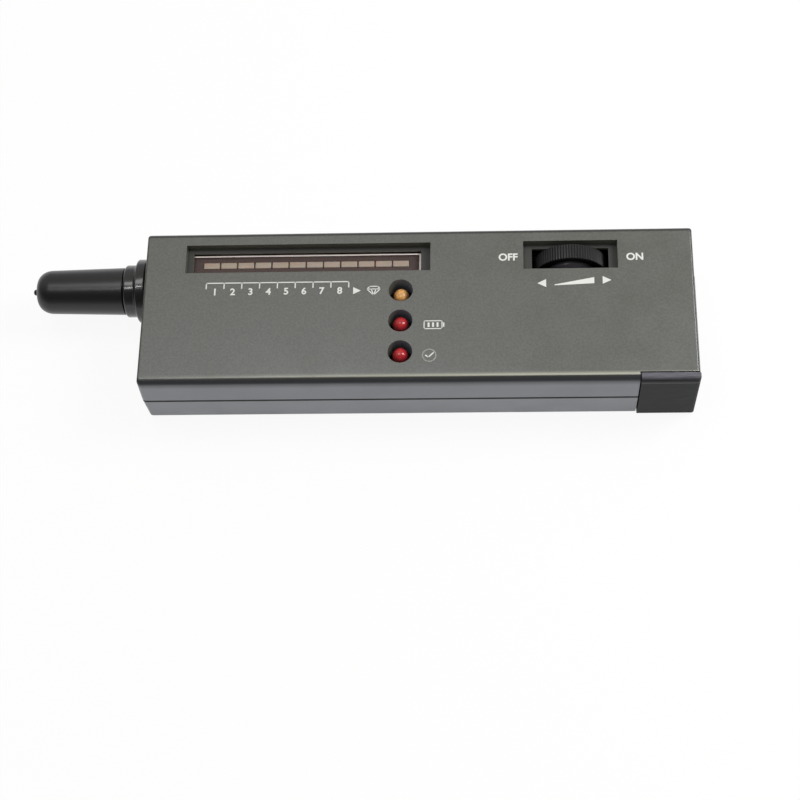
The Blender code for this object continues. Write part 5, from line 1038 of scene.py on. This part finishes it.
solder_mask = finished("solder_mask", seen(34, 52, 36), 0.45, 0.6 * MM, 0.01 * MM, 0.16)
inner_finishes = {
    "circuit_board": solder_mask,
    "driver_chip": finished("chip_black", seen(36, 36, 38), 0.5, 0.15 * MM, 0.006 * MM, 0.12),
    "capacitor_1": finished("sleeve_blue", seen(34, 44, 86), 0.3, 0.4 * MM, 0.004 * MM, 0.12),
    "trimmer_body": finished("trimmer_blue", seen(46, 84, 150), 0.4, 0.3 * MM, 0.005 * MM, 0.1),
    "trimmer_rotor": finished("rotor_white", seen(224, 220, 208), 0.4, 0.3 * MM, 0.004 * MM, 0.06),
    "transistor": finished("transistor_black", seen(34, 34, 36), 0.42, 0.2 * MM, 0.005 * MM, 0.12),
    "resistor_1": finished("resistor_tan", seen(198, 172, 126), 0.45, 0.3 * MM, 0.004 * MM, 0.12),
    "buzzer": finished("buzzer_black", seen(32, 32, 34), 0.4, 0.25 * MM, 0.005 * MM, 0.12),
    "battery": finished("battery_jacket", seen(48, 52, 60), 0.34, 0.6 * MM, 0.004 * MM, 0.1, metallic=0.4),
    "battery_snap": finished("snap_black", seen(30, 30, 32), 0.55, 0.3 * MM, 0.006 * MM, 0.14),
    "red_lead": finished("lead_red", seen(186, 36, 32), 0.5, 0.3 * MM, 0.004 * MM, 0.1),
    "black_lead": finished("lead_black", seen(30, 30, 32), 0.5, 0.3 * MM, 0.004 * MM, 0.1),
    "touch_plate_lead": finished("lead_white", seen(222, 220, 212), 0.5, 0.3 * MM, 0.004 * MM, 0.06),
    "volume_pot": finished("pot_brown", seen(84, 66, 44), 0.5, 0.3 * MM, 0.006 * MM, 0.14),
    "spring_seat": finished("seat_grey", seen(64, 62, 60), 0.5, 0.25 * MM, 0.005 * MM, 0.1),
    "tip_spring": finished("spring_steel", seen(184, 184, 182), 0.25, 0.15 * MM, 0.002 * MM, 0.08, metallic=1.0),
}
like = {
    "amplifier_chip": "driver_chip", "capacitor_2": "capacitor_1", "resistor_2": "resistor_1",
    "probe_lead": "red_lead",
}
for node, finish in inner_finishes.items():
    dressed(node, finish)
for node, other in like.items():
    dressed(node, inner_finishes[other])
for node in ("board_screw_1", "board_screw_2"):
    dressed(node, nickel)

# Floor, light and camera
# A plain white floor under a soft overhead light, seen from the photograph's angle.

FOCAL_PIXELS = 1763
IMAGE_PIXELS = 800
SENSOR_WIDTH = 36
CAMERA_AZIMUTH = math.radians(7.42)
CAMERA_HEIGHT_ANGLE = math.radians(65.30)
CAMERA_ROLL = math.radians(-7.27)
CAMERA_DISTANCE = 0.4753
AIM_PIXEL = (418.5, 325.0)
AIM_ON_CASE = (73.5, 22.0)
AIM_BELOW_FACE = 11.0 * MM
FLOOR_SIZE = 6.0
FLOOR_DROP = 0.02 * MM
FLOOR_LIT_SHARE = 0.92
BRIGHT_SIDE = (0.0, 0.9, 0.436)
SKY_DIM, SKY_BRIGHT, SKY_LOW = 0.14, 0.66, 0.5
SKY_HIGH_COLOUR = (1.0, 0.985, 0.95, 1.0)
SKY_LOW_COLOUR = (0.9, 0.94, 1.0, 1.0)


def floor_finish():
    """Matte white paper with a faint tooth, which the lens, and whatever mirrors or lets it through, sees in part
    as a lit sheet: the background comes out white and the object's shadow stays on it, paler."""
    material = finished("white_floor", seen(250, 250, 249), 0.9, 0.4 * MM, 0.004 * MM, 0.004)
    tree = material.node_tree
    path = tree.nodes.new("ShaderNodeLightPath")
    ray = path.outputs["Is Camera Ray"]
    for kind in ("Is Glossy Ray", "Is Transmission Ray"):
        either = tree.nodes.new("ShaderNodeMath")
        either.operation = "MAXIMUM"
        tree.links.new(ray, either.inputs[0])
        tree.links.new(path.outputs[kind], either.inputs[1])
        ray = either.outputs[0]
    share = ranged(material, ray, (0, 1), (0, FLOOR_LIT_SHARE))
    sheet = tree.nodes.new("ShaderNodeEmission")
    both = tree.nodes.new("ShaderNodeMixShader")
    tree.links.new(share, both.inputs[0])
    tree.links.new(tree.nodes["Principled BSDF"].outputs[0], both.inputs[1])
    tree.links.new(sheet.outputs[0], both.inputs[2])
    tree.links.new(both.outputs[0], tree.nodes["Material Output"].inputs["Surface"])
    return material


def soft_lamp(name, place, target, size, power):
    """A soft lamp with a four-sided face that looks at a place."""
    data = bpy.data.lights.new(name, "AREA")
    data.shape = "RECTANGLE"
    data.size, data.size_y = size
    data.energy = power
    lamp = bpy.data.objects.new(name, data)
    bpy.context.scene.collection.objects.link(lamp)
    lamp.location = place
    lamp.rotation_euler = (Vector(target) - Vector(place)).to_track_quat("-Z", "Y").to_euler()
    return lamp


def sky():
    """Soft white all round: brightest overhead and behind the case, pale again low down, as from the walls of a
    room, and dim where the lens looks from. The lens itself sees plain white there."""
    world = bpy.data.worlds.new("studio")
    bpy.context.scene.world = world
    world.use_nodes = True
    tree = world.node_tree
    place = tree.nodes.new("ShaderNodeTexCoord").outputs["Generated"]
    parts = tree.nodes.new("ShaderNodeSeparateXYZ")
    tree.links.new(place, parts.inputs[0])
    tilt = tree.nodes.new("ShaderNodeVectorMath")
    tilt.operation = "DOT_PRODUCT"
    tilt.inputs[1].default_value = BRIGHT_SIDE
    tree.links.new(place, tilt.inputs[0])
    behind = ranged(world, tilt.outputs["Value"], (-0.15, 0.6), (SKY_DIM, SKY_BRIGHT))
    low_down = ranged(world, parts.outputs[2], (0.06, 0.5), (SKY_LOW, 0))
    lower = ranged(world, parts.outputs[2], (0.2, 0.5), (1, 0))
    seen_at_once = tree.nodes.new("ShaderNodeLightPath").outputs["Is Camera Ray"]
    colour = mixed(world, lower, SKY_HIGH_COLOUR, SKY_LOW_COLOUR)
    strength = worked(world, "MAXIMUM", worked(world, "MAXIMUM", behind, low_down), seen_at_once)
    tree.links.new(mixed(world, seen_at_once, colour, (1, 1, 1, 1)), tree.nodes["Background"].inputs["Color"])
    tree.links.new(strength, tree.nodes["Background"].inputs["Strength"])


def photo_camera():
    """The camera at the photograph's angle: it looks at a point in the case, is rolled by a few degrees and is
    moved sideways until that point falls on the pixel where the photograph has it."""
    azimuth, height, roll = CAMERA_AZIMUTH, CAMERA_HEIGHT_ANGLE, CAMERA_ROLL
    right = Vector((math.cos(azimuth), math.sin(azimuth), 0))
    up = Vector((-math.sin(azimuth) * math.sin(height), math.cos(azimuth) * math.sin(height),
                 math.cos(height)))
    back = right.cross(up)
    side = math.cos(roll) * right + math.sin(roll) * up
    top = -math.sin(roll) * right + math.cos(roll) * up
    aim = on_case(*AIM_ON_CASE) + Vector((0, 0, FACE_Z - AIM_BELOW_FACE))
    pixel = CAMERA_DISTANCE / FOCAL_PIXELS
    across = (IMAGE_PIXELS / 2 - AIM_PIXEL[0]) * pixel
    down = (IMAGE_PIXELS / 2 - AIM_PIXEL[1]) * pixel
    place = aim + side * across - top * down + back * CAMERA_DISTANCE
    data = bpy.data.cameras.new("photo_camera")
    data.sensor_width = SENSOR_WIDTH
    data.lens = FOCAL_PIXELS * SENSOR_WIDTH / IMAGE_PIXELS
    data.clip_start = 0.01
    camera = bpy.data.objects.new("photo_camera", data)
    bpy.context.scene.collection.objects.link(camera)
    turn = Matrix((side, top, back)).transposed().to_4x4()
    camera.matrix_world = Matrix.Translation(place) @ turn
    bpy.context.scene.camera = camera


bpy.ops.mesh.primitive_plane_add(size=FLOOR_SIZE, location=(0, 0, REAR_Z - FLOOR_DROP))
floor = bpy.context.object
floor.name = "floor"
floor.data.materials.append(floor_finish())
sky()
soft_lamp("right_box", (0.4, 0.12, 0.43), (0.02, 0, 0), (0.24, 0.24), 2.05)
soft_lamp("top_box", (-0.16, 0.17, 0.87), (0, 0, 0), (0.4, 0.2), 1.1)
soft_lamp("probe_key", (-0.256, -0.165, 0.87), (-0.06, 0, 0), (0.03, 0.13), 0.4)
photo_camera()
bpy.context.scene.view_settings.view_transform = "Standard"
